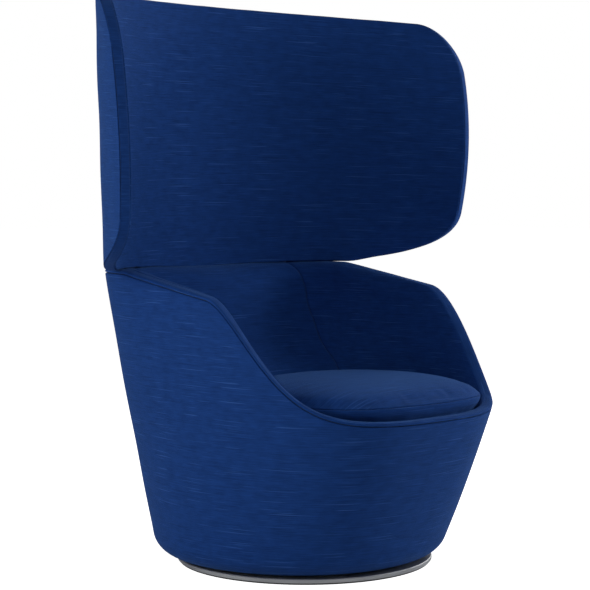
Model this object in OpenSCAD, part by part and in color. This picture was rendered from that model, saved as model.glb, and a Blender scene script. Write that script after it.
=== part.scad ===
// Acoustic high back lounge chair: an upholstered tub on a steel disc that it
// turns on, a loose seat cushion, and a tall padded hood that wraps round the head.
// The chair faces -Y. The origin is on the floor, on the swivel axis.

/* [Tub outline] */
// Half width of the tub across the arms
arm_half_w = 376; // [350:1:410]
// Reach of the tub in front of the swivel axis
front_reach = 506; // [485:1:525]
// Reach of the tub behind the swivel axis
back_reach = 405; // [392:1:418]
// Radius of the tub at the floor
foot_r = 329; // [320:1:340]
// Distance that the foot sits behind the swivel axis
foot_back = 26; // [0:1:34]
// Roundness of the bottom edge
foot_round = 42; // [30:1:48]
// Height of the bottom edge above the floor
foot_z = 17; // [16.5:0.5:20]
// Height at which the tub would reach its full outline
flare_z = 750; // [720:1:800]
// How early the front swells out
flare_power = 1.51; // [1.3:0.01:1.8]
// How early the back swells out
back_flare_power = 1.19; // [1:0.01:1.5]
// Squareness of the outline in front
front_square = 3.2; // [2.8:0.1:3.8]
// Squareness of the outline behind
back_square = 5; // [4:0.1:5.8]

/* [Rim] */
// Height of the front lip
lip_z = 362; // [355:1:380]
// Height of the arms beside the swivel axis
arm_z = 641; // [600:1:655]
// Rise of the arms towards the back, as a slope
arm_rise = 0.16; // [0.05:0.01:0.2]
// Where the S curve of the arm begins, in front of the axis
curve_front = 667; // [620:1:700]
// Where the S curve of the arm ends, in front of the axis
curve_back = 75; // [40:1:100]
// Skew of the S curve
curve_skew = 2; // [1.6:0.02:2.4]
// Width of the rolled edge band
band_w = 25; // [20:0.5:27]
// Height of the rolled edge band above the cover's edge
band_rise = 7; // [4:0.5:10]
// Distance of the band from the outer surface
band_inset = 2; // [1:0.5:4]
// Extra width of the band at the back corners
corner_band = 24; // [18:1:26]

/* [Wall] */
// Thickness of the outer cover with its foam
cover_t = 10; // [8:0.5:12]
// Thickness of the moulded shell
shell_t = 10; // [8:0.5:12]
// Least thickness of the whole wall
wall_min = 31; // [30:0.5:38]
// Half width of the seat's oval outline
oval_half_w = 310; // [300:1:315]
// Half depth of the seat's oval outline
oval_half_d = 240; // [234:1:246]
// Distance of the oval's middle in front of the swivel axis
oval_forward = 150; // [142:1:158]
// Extra thickness of the wall at the top behind the sitter
top_wall = 72; // [50:1:90]
// Height of the shoulder that rolls over to the band
shoulder_h = 48; // [36:1:60]

/* [Seat] */
// Height of the seat, where the cushion meets the back
seat_z = 420; // [410:1:430]
// Top of the plywood seat frame
frame_z = 292; // [284:1:298]
// Thickness of the seat frame
frame_t = 20; // [16:1:24]
// Thickness of the felt pad over the straps
deck_t = 8; // [6:1:10]
// Height of the cushion's front seam
seam_z = 402; // [385:1:406]
// Rise of the cushion's seam towards the back
seam_rise = 12; // [6:1:28]
// Crown of the cushion over its seam
crown_h = 39; // [25:1:50]
// Depth that the cushion's sides draw in
draw_in = 4; // [2:0.5:8]
// Gap between the cushion and the walls
cushion_gap = 3; // [2:0.5:6]

/* [Straps] */
// Width of a seat strap
strap_w = 50; // [40:1:54]
// Thickness of a seat strap
strap_t = 2; // [1.5:0.1:3]
// Distance between the middles of two straps
strap_pitch = 76; // [70:1:80]
// Number of straps each way
strap_count = 5; // [3:2:5]

/* [Hood] */
// Radius of the hood's inner face
hood_r = 544; // [530:1:560]
// Length along the hood's inner face from the middle to a front edge
hood_half_len = 716; // [680:1:750]
// Thickness of the hood
hood_t = 28; // [25:0.5:32]
// Bottom of the hood behind the sitter
hood_z = 684; // [676:1:700]
// Top of the hood behind the sitter
hood_top = 1325; // [1250:1:1380]
// Fall of the top edge towards the front
hood_fall = 42; // [0:1:60]
// Bow of the hood's front edges
hood_bow = 44; // [0:1:60]
// Length of the hood's upper corner
corner_len = 100; // [80:1:140]
// Height of the hood's upper corner
corner_h = 128; // [90:1:160]
// Height of the sweep under the hood's wings
sweep_h = 136; // [100:1:170]
// Width of the hood's edge band
edge_w = 5; // [3:0.5:7]
// Outward lean of the wings, as a slope at one radian from the middle
wing_lean = 0.027; // [0:0.001:0.05]

/* [Hood bars] */
// Distance of a hood bar from the middle
bar_x = 120; // [100:1:130]
// Width of a hood bar
bar_w = 8; // [6:0.5:9]
// Thickness of a hood bar
bar_t = 5; // [4:0.5:5.5]
// Length of a bar inside the hood
bar_up = 320; // [200:5:400]
// Length of a bar inside the tub
bar_down = 280; // [240:5:320]
// Width of a clamp that holds a bar
clamp_w = 36; // [30:1:44]
// Height of a clamp
clamp_h = 24; // [18:1:32]

/* [Base] */
// Diameter of the base plate
plate_d = 600; // [560:1:610]
// Thickness of the base plate
plate_t = 10; // [8:0.5:10.5]
// Thickness of the rubber floor pad
pad_t = 3; // [2:0.5:4]
// Distance from the plate's edge to the pad's edge
pad_inset = 4; // [2:0.5:8]
// Thickness of the bottom board
board_t = 18; // [15:1:22]

/* [Swivel] */
// Diameter of the spindle pin
pin_d = 40; // [30:1:50]
// Diameter of the spindle's flange
flange_d = 150; // [140:1:170]
// Thickness of the spindle's flange
flange_t = 6; // [5:0.5:8]
// Radial clearance between the pin and the hub
pin_gap = 0.05; // [0.03:0.01:0.08]
// Diameter of a bearing ball
ball_d = 8; // [7:0.5:9]
// Number of bearing balls
ball_count = 24; // [16:1:28]
// Diameter of the circle that the balls run on
ball_circle = 90; // [84:1:100]
// Wall of the hub's barrel
hub_wall = 12; // [8:1:14]
// Thickness of the hub's flange
hub_flange_t = 6; // [5:0.5:8]
// Diameter of the screws in the swivel
screw_d = 8; // [6:0.5:9]
// Number of screws in each flange
screw_count = 4; // [4:1:6]

/* [Hidden] */

fabric_blue = [0.09, 0.22, 0.48];
fabric_light = [0.14, 0.32, 0.60];
steel_grey = [0.45, 0.46, 0.47];
bright_steel = [0.75, 0.76, 0.78];
ply_colour = [0.78, 0.64, 0.44];
shell_colour = [0.30, 0.30, 0.32];
rubber_black = [0.08, 0.08, 0.08];
strap_colour = [0.16, 0.15, 0.14];

// Clearance between neighbours that move together
fit = 0.4;
// Clearance between neighbours that move apart
clear = 0.3;
// Extra room between two curved faces whose facets don't match
facet_room = 0.4;
// Overrun of a cut past the face that it opens
cut = 1;
// Columns round the tub
columns = 72;
// Angle at which the flare begins to change from the front's to the back's, and its sweep
flare_angle = 70;
flare_sweep = 60;
// Angle at which the seat wall begins to thicken, in front
wall_angle = 45;
// Angle over which the seat wall reaches the seat's oval outline
wall_sweep = 35;
// Angle at which the top wall begins to thicken, and its sweep
top_angle = 60;
top_sweep = 90;
// Distance of the seams inside the back from the middle, at the seat and at the rim, and
// the height over which they lean out from the one to the other
seam_x = 175;
seam_top_x = 244;
seam_lean_h = 200;
// Angle at which the side pads meet the front pad
front_seam_angle = 30;
// Angle at which the back pad meets the side pads at the shell and the band
seam_back = 145;
// Room on each side of a seam between two pads, as a length and as an angle
seam_gap = 0.15;
pad_gap_angle = 0.02;
// Room between the deck pad and the pads round it
deck_gap = 2.5;
// Angles between which the seam inside the back is found, and the halvings that find it
seam_low = 80;
seam_high = 165;
seam_halvings = 14;
// How fast the wall thins above the seat
thin_power = 2.2;
// Power of the sweep under the wings
sweep_power = 2.66;
// Rows up a pad, and rows up a wall above its rounded foot
pad_rows = 9;
wall_rows = 6;
// Steps round a rounded edge
round_steps = 4;

function clamp01(t) = min(1, max(0, t));
function ease(t) = let (u = clamp01(t)) u * u * (3 - 2 * u);
function mix(a, b, t) = a + (b - a) * t;

// Angle th is 0 in front, 90 at the +X arm and 180 behind
function full_r(th) =
    let (c = cos(th), n = c > 0 ? front_square : back_square, b = c > 0 ? front_reach : back_reach)
    pow(pow(abs(sin(th)) / arm_half_w, n) + pow(abs(c) / b, n), -1 / n);
function flare(z, power = flare_power) = 1 - pow(1 - min(z, flare_z) / flare_z, power);
function side_power(th) =
    mix(flare_power, back_flare_power, ease((half_angle(th) - flare_angle) / flare_sweep));
function outer_r(th, z) = mix(foot_r, full_r(th), flare(z, side_power(th)));
// Point on the tub at an angle and a height, a distance inside its outer surface
function tub_point(th, z, inset) =
    let (r = outer_r(th, z) - inset)
    [sin(th) * r, foot_back * (1 - flare(z)) - cos(th) * r, z];
// Distance inside at which the bottom edge's rounding lies at a height
function foot_inset(z) =
    let (t = clamp01((z - foot_z) / foot_round))
    foot_round * (1 - sqrt(1 - (1 - t) * (1 - t)));

// Height of the cover's top edge at an angle
rim_cap_z = hood_z - band_rise - clear;
function rim_z(th) =
    let (y = -cos(th) * full_r(th),
        t = pow(clamp01((y + curve_front) / (curve_front - curve_back)), curve_skew))
    min(rim_cap_z, mix(lip_z, arm_z + arm_rise * y, ease(t)));

// Thickness of the whole wall at an angle and a height
function half_angle(th) = abs(th > 180 ? 360 - th : th);
// Reach of the seat's oval outline from the swivel axis
function oval_r(a) =
    let (s = sin(a) / oval_half_w, c = cos(a) / oval_half_d, e = oval_forward / oval_half_d,
        m = s * s + c * c)
    (e * c + sqrt(e * e * c * c - m * (e * e - 1))) / m;
function seat_wall_t(a) =
    wall_min + max(0, outer_r(a, seat_z) - oval_r(a) - wall_min) * ease((a - wall_angle) / wall_sweep);
function top_wall_t(a) = wall_min + top_wall * ease((a - top_angle) / top_sweep);
function wall_t(th, z) =
    let (a = half_angle(th), t = clamp01((z - seat_z) / (hood_z - seat_z)))
    mix(top_wall_t(a), seat_wall_t(a), pow(1 - t, thin_power));

// A solid between sections that have the same number of points. Each section is a
// loop whose point i faces point last - i across a thin wall, so its end is a ladder.
// Both faces of the wall are split along the same diagonals, so that walls nest.
module loft(sections, closed) {
    n = len(sections[0]);
    m = len(sections);
    last = closed ? m - 1 : m - 2;
    sides = [for (j = [0:last]) for (i = [0:n - 1])
        let (k = (j + 1) % m, p = (i + 1) % n, a = j * n + i, b = j * n + p, c = k * n + i, d = k * n + p)
        each (i < n / 2 ? [[a, d, b], [a, c, d]] : [[a, c, b], [b, c, d]])];
    ends = closed ? [] : [for (i = [0:n / 2 - 2])
        let (q = n - 1 - i, e = (m - 1) * n)
        each [[i, i + 1, q - 1], [i, q - 1, q], [e + i + 1, e + i, e + q - 1], [e + q - 1, e + i, e + q]]];
    polyhedron(points = [for (s = sections) each s], faces = concat(sides, ends), convexity = 8);
}

function turn(j, count) = 360 * j / count;

// Heights of the points up a wall, close together where the foot is round
foot_levels = [for (k = [0:round_steps]) foot_z + foot_round * (1 - cos(90 * k / round_steps))];
function levels(z0, z1) = concat([z0], [for (z = foot_levels) if (z > z0 + cut) z],
    [for (i = [1:wall_rows]) mix(foot_z + foot_round, z1, i / wall_rows)]);

// A wall of the tub between two insets, from a bottom height to the rim less a drop
function wall_section(th, outside, inside, z0, drop) =
    let (zs = levels(z0, rim_z(th) - drop), n = len(zs) - 1)
    concat([for (z = zs) tub_point(th, z, outside + foot_inset(z))],
        [for (i = [n:-1:0]) tub_point(th, zs[i], inside + foot_inset(zs[i]))]);

// Base

plate_z = pad_t;
flange_z = plate_z + plate_t;
race_z = flange_z + flange_t;
pad_d = plate_d - 2 * pad_inset;
plate_chamfer = 1.5;
race_t = 3;
race_w = 10;
groove_gap = 0.05;
groove_depth = 1;
ball_z = race_z + race_t + ball_d / 2 - groove_depth + groove_gap;
top_race_z = ball_z + ball_d / 2 - groove_depth + groove_gap;
hub_z = top_race_z + race_t;
board_z = hub_z + hub_flange_t;
board_top = board_z + board_t;
hub_top = board_top + hub_flange_t;
hub_d = pin_d + 2 * pin_gap + 2 * hub_wall;
hub_flange_d = flange_d;
washer_t = 2.5;
washer_d = hub_d - hub_wall;
nut_t = 14;
nut_d = pin_d + nut_t;
thread_share = 0.75;
thread_d = thread_share * pin_d;
screw_circle = (flange_d + ball_circle + 2 * race_w) / 2;
head_d_share = 1.6;
head_t_share = 0.45;
head_d = head_d_share * screw_d;
head_t = head_t_share * screw_d;
screw_gap = 0.2;

// A screw pattern on a circle
module on_circle(count, d) {
    for (i = [0:count - 1]) rotate(turn(i + 0.5, count)) translate([d / 2, 0, 0]) children();
}

module floor_pad() {
    color(rubber_black) cylinder(h = pad_t, d = pad_d, $fn = 96);
}

module base_plate() {
    r = plate_d / 2;
    color(steel_grey) difference() {
        translate([0, 0, plate_z]) rotate_extrude($fn = 128) polygon([[0, 0], [r - plate_chamfer, 0],
            [r, plate_chamfer], [r, plate_t - plate_chamfer], [r - plate_chamfer, plate_t], [0, plate_t]]);
        on_circle(screw_count, screw_circle) translate([0, 0, plate_z - cut])
            cylinder(h = plate_t + 2 * cut, d = screw_d + 2 * screw_gap, $fn = 32);
        on_circle(screw_count, screw_circle) translate([0, 0, plate_z - cut])
            cylinder(h = head_t + cut + screw_gap, d = head_d + 2 * screw_gap, $fn = 32);
    }
}

module spindle() {
    color(bright_steel) difference() {
        union() {
            translate([0, 0, flange_z]) cylinder(h = flange_t, d = flange_d, $fn = 96);
            translate([0, 0, race_z]) cylinder(h = hub_top + clear - race_z, d = pin_d, $fn = 64);
            translate([0, 0, hub_top + clear]) cylinder(h = nut_t + 2 * washer_t, d = thread_d, $fn = 48);
        }
        on_circle(screw_count, screw_circle) translate([0, 0, flange_z - cut])
            cylinder(h = flange_t + 2 * cut, d = screw_d + 2 * screw_gap, $fn = 32);
    }
}

module spindle_screws() {
    color(steel_grey) on_circle(screw_count, screw_circle) {
        translate([0, 0, plate_z]) cylinder(h = head_t, d = head_d, $fn = 32);
        translate([0, 0, plate_z + head_t])
            cylinder(h = plate_t + flange_t - head_t, d = screw_d, $fn = 32);
    }
}

// A flat bearing ring with a shallow round groove for the balls
module race(z, groove_z) {
    translate([0, 0, z]) difference() {
        cylinder(h = race_t, d = ball_circle + 2 * race_w, $fn = 96);
        translate([0, 0, -cut]) cylinder(h = race_t + 2 * cut, d = ball_circle - 2 * race_w, $fn = 96);
        translate([0, 0, groove_z]) rotate_extrude($fn = 96) translate([ball_circle / 2, 0])
            circle(d = ball_d + 2 * groove_gap, $fn = 48);
    }
}

module lower_race() {
    color(bright_steel) race(race_z, ball_z - race_z);
}

module upper_race() {
    color(bright_steel) race(top_race_z, ball_z - top_race_z);
}

module bearing_balls() {
    color(bright_steel) for (i = [0:ball_count - 1])
        rotate(turn(i, ball_count)) translate([ball_circle / 2, 0, ball_z]) sphere(d = ball_d, $fn = 24);
}

module swivel_hub() {
    color(steel_grey) difference() {
        union() {
            translate([0, 0, hub_z]) cylinder(h = hub_flange_t, d = hub_flange_d, $fn = 96);
            translate([0, 0, hub_z]) cylinder(h = hub_top - hub_z, d = hub_d, $fn = 64);
        }
        translate([0, 0, hub_z - cut])
            cylinder(h = hub_top - hub_z + 2 * cut, d = pin_d + 2 * pin_gap, $fn = 64);
        on_circle(screw_count, screw_circle) translate([0, 0, hub_z - cut])
            cylinder(h = hub_flange_t + 2 * cut, d = screw_d + 2 * screw_gap, $fn = 32);
    }
}

module hub_bolts() {
    color(bright_steel) on_circle(screw_count, screw_circle) {
        translate([0, 0, hub_z - head_t]) cylinder(h = head_t, d = head_d, $fn = 32);
        translate([0, 0, hub_z]) cylinder(h = hub_flange_t + board_t, d = screw_d, $fn = 32);
    }
}

module thrust_washer() {
    color(bright_steel) translate([0, 0, hub_top + clear]) difference() {
        cylinder(h = washer_t, d = washer_d, $fn = 64);
        translate([0, 0, -cut]) cylinder(h = washer_t + 2 * cut, d = thread_d + 2 * screw_gap, $fn = 48);
    }
}

module spindle_nut() {
    color(steel_grey) translate([0, 0, hub_top + clear + washer_t]) difference() {
        cylinder(h = nut_t, d = nut_d, $fn = 6);
        translate([0, 0, -cut]) cylinder(h = nut_t + 2 * cut, d = thread_d + 2 * screw_gap, $fn = 48);
    }
}

// Frame inside the tub

inner_edge = cover_t + fit + shell_t + fit;
// Radius inside the shell at a height, on the narrowest side of the tub
function shell_bore_r(z) = outer_r(90, z) - inner_edge - foot_inset(z);
// Middle of the tub at a height
function centre_y(z) = foot_back * (1 - flare(z));
board_r = shell_bore_r(board_z) - fit;
rib_count = 6;
rib_t = 18;
rib_inner = hub_flange_d / 2 + rib_t;
rib_outer = board_r - rib_t / 2;
frame_bottom = frame_z - frame_t;
dust_t = 1;
frame_rail = 80;
frame_hole_r = shell_bore_r(frame_bottom) - frame_rail;

module bottom_board() {
    color(ply_colour) difference() {
        translate([0, centre_y(board_z), board_z]) cylinder(h = board_t, r = board_r, $fn = 96);
        translate([0, 0, board_z - cut])
            cylinder(h = board_t + 2 * cut, d = hub_d + 2 * screw_gap, $fn = 64);
        on_circle(screw_count, screw_circle) translate([0, 0, board_z - cut])
            cylinder(h = board_t + 2 * cut, d = screw_d + 2 * screw_gap, $fn = 32);
    }
}

module dust_cover() {
    color(rubber_black) difference() {
        translate([0, centre_y(board_z), board_z - dust_t])
            cylinder(h = dust_t, r = board_r - rib_t, $fn = 96);
        translate([0, 0, board_z - dust_t - cut])
            cylinder(h = dust_t + 2 * cut, d = hub_flange_d + 2 * dust_t, $fn = 64);
    }
}

module support_ribs() {
    color(ply_colour) translate([0, centre_y(board_z), board_top])
        for (i = [0:rib_count - 1]) rotate(turn(i + 0.5, rib_count))
            translate([rib_inner, -rib_t / 2, 0])
                cube([rib_outer - rib_inner, rib_t, frame_bottom - board_top]);
}

// Outline inside the shell at a height
function bore_outline(z) = [for (j = [0:columns - 1])
    let (p = tub_point(turn(j, columns), z, inner_edge + fit)) [p[0], p[1]]];

module seat_frame() {
    color(ply_colour) translate([0, 0, frame_bottom]) difference() {
        linear_extrude(frame_t) polygon(bore_outline(frame_bottom));
        translate([0, centre_y(frame_z), -cut]) cylinder(h = frame_t + 2 * cut, r = frame_hole_r, $fn = 96);
    }
}

// Seat straps: each runs across the hole and rests on the frame at both ends
strap_half = (strap_count - 1) / 2;
strap_rest = frame_rail / 2;
strap_field = strap_half * strap_pitch + strap_w / 2;
function strap_reach(offset) =
    let (r = frame_hole_r + strap_rest, x = abs(offset) + strap_w / 2) sqrt(r * r - x * x);

module cross_straps() {
    color(strap_colour) translate([0, centre_y(frame_z), frame_z])
        for (i = [-strap_half:strap_half]) let (y = i * strap_pitch, h = strap_reach(y))
            translate([-h, y - strap_w / 2, 0]) cube([2 * h, strap_w, strap_t]);
}

// The long straps lie on the cross straps, and their ends are folded double on the frame
module long_straps() {
    color(strap_colour) translate([0, centre_y(frame_z), frame_z])
        for (i = [-strap_half:strap_half]) let (x = i * strap_pitch, h = strap_reach(x)) {
            translate([x - strap_w / 2, -h, strap_t]) cube([strap_w, 2 * h, strap_t]);
            for (side = [-1, 1]) let (fold = h - strap_field - fit)
                translate([x - strap_w / 2, side * (h - fold / 2) - fold / 2, 0])
                    cube([strap_w, fold, 2 * strap_t]);
        }
}

deck_z = frame_z + 2 * strap_t;
deck_top = deck_z + deck_t;
function deck_outline(z) = [for (j = [0:columns - 1])
    let (th = turn(j, columns), p = tub_point(th, z, wall_t(th, z) + deck_gap)) [p[0], p[1]]];

module deck_pad() {
    color(fabric_blue) translate([0, 0, deck_z]) linear_extrude(deck_t) polygon(deck_outline(deck_z));
}

// Tub

// The shell starts at one of the heights that the cover's foot has too
shell_z = foot_levels[round_steps - 1];
module shell_core() {
    color(shell_colour) loft([for (j = [0:columns - 1])
        wall_section(turn(j, columns), cover_t + fit, inner_edge - fit, shell_z, 3 * fit + band_inset)],
        true);
}

// The cover turns under the foot and stops at the bottom board's edge
module outer_cover() {
    color(fabric_blue) loft([for (j = [0:columns - 1])
        wall_section(turn(j, columns), 0, cover_t, foot_z, band_inset)], true);
}

// A bar touches the inside of the shell under the rim, and the hood's core is centred on it
bar_angle = 180 - atan((bar_x + clamp_w / 2) / (back_reach - inner_edge));
function bar_face_y(z) = tub_point(bar_angle, z, inner_edge + facet_room)[1] - bar_t / 2;
bar_y = bar_face_y(rim_cap_z);
bar_foot_y = bar_face_y(hood_z - bar_down);
bar_slope = (bar_y - bar_foot_y) / bar_down;
hood_centre = sqrt(pow(hood_r + hood_t / 2, 2) - bar_x * bar_x) - bar_y;

// Distance of the band's inner edge from the outer surface: it widens at the back corners,
// where the hood cuts across them, so that the hood stands on it
corner_angle = 140;
corner_sweep = 25;
function band_end(th) =
    let (t = (half_angle(th) - corner_angle) / corner_sweep)
    band_inset + band_w + corner_band * (ease(t + 1) - ease(t));

// Section of the rolled band: flat below, rounded above
function band_section(th) =
    let (z = rim_z(th) - band_inset + 2 * fit, n = 2 * round_steps, h = band_rise + band_inset - 2 * fit,
        w = band_end(th) - band_inset)
    concat([for (i = [0:n]) let (a = 180 * i / n)
        tub_point(th, z + h * sqrt(sin(a)), band_inset + w * (1 - cos(a)) / 2)],
        [tub_point(th, z - fit / 4, band_inset + w * 3 / 4)]);

// Room for the hood bars and their clamps
module bar_slots() {
    for (side = [-1, 1]) {
        hood_bar(side, fit);
        for (z = clamp_heights) clamp_block(side, z, fit);
    }
}

module rim_band() {
    color(fabric_blue) difference() {
        loft([for (j = [0:columns - 1]) band_section(turn(j, columns))], true);
        bar_slots();
    }
}

// Point i of an inner pad's section: up the shell, over under the band, up beside it, round
// the shoulder and down the inner face
pad_z = deck_z;
face_rows = pad_rows + 2 - round_steps;
pad_points = 2 * pad_rows + 4;
function pad_point(th, i) =
    let (z1 = rim_z(th) - band_inset, z2 = rim_z(th) + band_rise - 2 * clear,
        lip = band_end(th) + fit + 2 * facet_room,
        drop = min(shoulder_h, (z2 - pad_z) / 2), z3 = z2 - drop, w3 = max(wall_t(th, z3), lip + fit),
        k = i - pad_rows - 1, a = 90 * k / round_steps, z = mix(z3, pad_z, (k - round_steps) / face_rows))
    i < pad_rows ? tub_point(th, mix(pad_z, z1 - fit, i / (pad_rows - 1)), inner_edge + facet_room)
    : k < 0 ? tub_point(th, z1 - fit, lip)
    : k <= round_steps ? tub_point(th, z2 - drop * (1 - cos(a)), mix(lip, w3, sin(a)))
    : tub_point(th, z, max(wall_t(th, z), lip));

// Angle at which point i of the section's inner face lies in the leaning plane of a seam, by
// halving. The points at the shell and the band all lie at one of their own angles.
function seam_at(z, shift) = shift + mix(seam_x, seam_top_x, clamp01((z - seat_z) / seam_lean_h));
function seam_angle(i, shift, low = seam_low, high = seam_high, steps = seam_halvings) =
    let (th = (low + high) / 2, p = pad_point(th, i))
    i <= pad_rows + 1 ? seam_back - sign(shift) * pad_gap_angle
    : steps == 0 ? th
    : p[0] > seam_at(p[2], shift) ? seam_angle(i, shift, th, high, steps - 1)
    : seam_angle(i, shift, low, th, steps - 1);

// Pads round part of the tub: each point of a section has angles of its own at both ends
module pad(from, to, steps) {
    loft([for (j = [0:steps]) [for (i = [0:pad_points - 1]) pad_point(mix(from[i], to[i], j / steps), i)]],
        false);
}

function same_angle(a) = [for (i = [0:pad_points - 1]) a];
back_seam = [for (i = [0:pad_points - 1]) seam_angle(i, -seam_gap)];
side_seam = [for (i = [0:pad_points - 1]) seam_angle(i, seam_gap)];
function mirrored(angles) = [for (a = angles) 360 - a];

// Columns of the shell that a pad covers
function pad_steps(sweep) = round(sweep * columns / 360);
side_steps = pad_steps(seam_back - front_seam_angle);
side_front = front_seam_angle + pad_gap_angle;

module back_pad() {
    color(fabric_blue) difference() {
        pad(back_seam, mirrored(back_seam), pad_steps(360 - 2 * seam_back));
        bar_slots();
    }
}

module left_side_pad() {
    color(fabric_blue) pad(mirrored(side_seam), same_angle(360 - side_front), side_steps);
}

module right_side_pad() {
    color(fabric_blue) pad(same_angle(side_front), side_seam, side_steps);
}

module front_pad() {
    color(fabric_blue)
        pad(same_angle(-front_seam_angle), same_angle(front_seam_angle), pad_steps(2 * front_seam_angle));
}

// Hood

hood_layer = (hood_t - 2 * fit) / 3;

hood_columns = 40;
hood_rows = 8;
// Share of the hood's half length that rests on the tub, from the middle
hood_seat_share = 0.335;
hood_seat_len = hood_half_len * hood_seat_share;
hood_wing_len = hood_half_len - hood_seat_len;
// Share of a wing's length at which its edge band begins
edge_start_share = 0.05;
hood_front_top = hood_top - hood_fall;
hood_mid_z = (hood_z + hood_front_top) / 2;
hood_half_h = (hood_front_top - hood_z) / 2;

// Outline of the hood laid flat: top and bottom heights at a length from the middle
function hood_upper(s) =
    let (q = clamp01((s - hood_half_len + corner_len) / corner_len))
    hood_front_top - corner_h * (1 - sqrt(1 - q * q));
function hood_lower(s) =
    let (q = clamp01((s - hood_seat_len) / hood_wing_len))
    hood_z + sweep_h * (1 - pow(1 - pow(q, sweep_power), 1 / sweep_power));

// Point of the hood at a flat length and height, a distance outside its inner face
function hood_point(s, z, out) =
    let (q = s / hood_half_len, v = (z - hood_mid_z) / hood_half_h,
        s2 = s - sign(s) * hood_bow * q * q * v * v,
        z2 = z + hood_fall * (1 - q * q) * clamp01((v + 1) / 2),
        f = s2 / hood_r, r = hood_r + wing_lean * f * f * (z2 - hood_z) + out,
        a = f * 180 / PI)
    [r * sin(a), r * cos(a) - hood_centre, z2];

// Length at a column, closer together towards the front edges
function hood_s(j, edge) =
    let (u = 2 * j / hood_columns - 1) sign(u) * (hood_half_len - edge) * sin(90 * abs(u));

// One layer of the hood between two distances outside its inner face
module hood_layer_solid(inner, outer, edge) {
    loft([for (j = [0:hood_columns])
        let (s = hood_s(j, edge), a = abs(s) * hood_half_len / (hood_half_len - edge),
            z0 = hood_lower(a) + edge * ease((a - hood_seat_len) / hood_wing_len / edge_start_share),
            z1 = hood_upper(a) - edge)
        concat([for (i = [0:hood_rows]) hood_point(s, mix(z0, z1, i / hood_rows), outer)],
            [for (i = [0:hood_rows]) hood_point(s, mix(z1, z0, i / hood_rows), inner)])], false);
}

module hood_inner_pad() {
    color(fabric_blue) hood_layer_solid(0, hood_layer, edge_w + fit);
}

module hood_core() {
    color(shell_colour) difference() {
        hood_layer_solid(hood_layer + fit, 2 * hood_layer + fit, edge_w + fit);
        bar_slots();
    }
}

module hood_outer_pad() {
    color(fabric_light) hood_layer_solid(2 * hood_layer + 2 * fit, hood_t, edge_w + fit);
}

// The hood's outline as a path of [length, height], from one bottom corner up, over and down
edge_corner = 10;
edge_top = 12;
edge_side = 6;
edge_sweep = 12;
edge_sweep_angle = acos(pow(edge_start_share, sweep_power / 2));
half_edge = concat(
    [for (i = [0:edge_top - 1]) [(hood_half_len - corner_len) * i / edge_top, hood_front_top]],
    [for (i = [0:edge_corner]) let (a = 90 * i / edge_corner)
        [hood_half_len - corner_len * (1 - sin(a)), hood_front_top - corner_h * (1 - cos(a))]],
    [for (i = [1:edge_side])
        [hood_half_len, mix(hood_front_top - corner_h, hood_z + sweep_h, i / edge_side)]],
    [for (i = [1:edge_sweep]) let (a = edge_sweep_angle * i / edge_sweep, e = 2 / sweep_power)
        [hood_seat_len + hood_wing_len * pow(cos(a), e), hood_z + sweep_h * (1 - pow(sin(a), e))]]);
edge_count = len(half_edge);
edge_path = concat([for (i = [edge_count - 1:-1:1]) [-half_edge[i][0], half_edge[i][1]]], half_edge);

// Direction out of the flat outline at a point of the path
function edge_out(i) =
    let (a = edge_path[max(0, i - 1)], b = edge_path[min(len(edge_path) - 1, i + 1)],
        d = b - a, l = norm(d))
    [-d[1] / l, d[0] / l];

// Point beside the path, a distance past the ends of the layers and outside the inner face
function edge_point(i, w, out) =
    let (o = edge_out(i) * (w - edge_w + fit))
    hood_point(edge_path[i][0] + o[0], edge_path[i][1] + o[1], out);

module hood_edge_band() {
    n = round_steps;
    color(fabric_light) loft([for (i = [0:len(edge_path) - 1]) concat(
        [for (k = [0:n]) let (a = 180 * k / n)
            edge_point(i, (edge_w - fit) * sin(a), hood_t / 2 * (1 - cos(a)))],
        [for (k = [0:n]) edge_point(i, -fit / 2, mix(hood_t - fit / 4, fit / 4, k / n))])], false);
}

// Flat bars that carry the hood: each stands in the hood's core, bends at its bottom and
// leans down along the inside of the shell
module hood_bar(side, grow) {
    h = bar_t / 2 + grow;
    top = hood_z + bar_up + grow;
    foot = hood_z - bar_down - grow;
    translate([side * bar_x - bar_w / 2 - grow, 0, 0]) rotate([90, 0, 90])
        linear_extrude(bar_w + 2 * grow) polygon([[bar_foot_y - h, foot], [bar_foot_y + h, foot],
            [bar_y + h, hood_z], [bar_y + h, top], [bar_y - h, top], [bar_y - h, hood_z]]);
}

// A clamp block at a height, its back just in front of the back of the bar
clamp_depth = 4 * bar_t;
module clamp_block(side, z, grow) {
    y = bar_y - (hood_z - z) * bar_slope + bar_t / 2 - 4 * clear;
    translate([side * bar_x, y, z]) rotate([-atan(bar_slope), 0, 0])
        translate([-clamp_w / 2 - grow, -clamp_depth - grow, -clamp_h / 2 - grow])
            cube([clamp_w + 2 * grow, clamp_depth + 2 * grow, clamp_h + 2 * grow]);
}

clamp_heights = [hood_z - bar_down + clamp_h, hood_z - bar_down / 2];

module left_hood_bar() {
    color(steel_grey) hood_bar(-1, 0);
}

module right_hood_bar() {
    color(steel_grey) hood_bar(1, 0);
}

module bar_clamps() {
    color(bright_steel) difference() {
        for (side = [-1, 1]) for (z = clamp_heights) clamp_block(side, z, 0);
        for (side = [-1, 1]) hood_bar(side, clear / 4);
    }
}

// Seat cushion

cushion_z = deck_top + clear;
cushion_mid_y = -oval_forward;
cushion_columns = 48;
top_rings = 7;
side_rings = 5;
crown_power = 4.2;
crown_z = seam_z + crown_h;
function cushion_seam_z(th) = seam_z + seam_rise * ease((half_angle(th) - top_angle) / top_angle);
function cushion_edge(th, z) = tub_point(th, z, wall_t(th, z) + cushion_gap);

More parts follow.
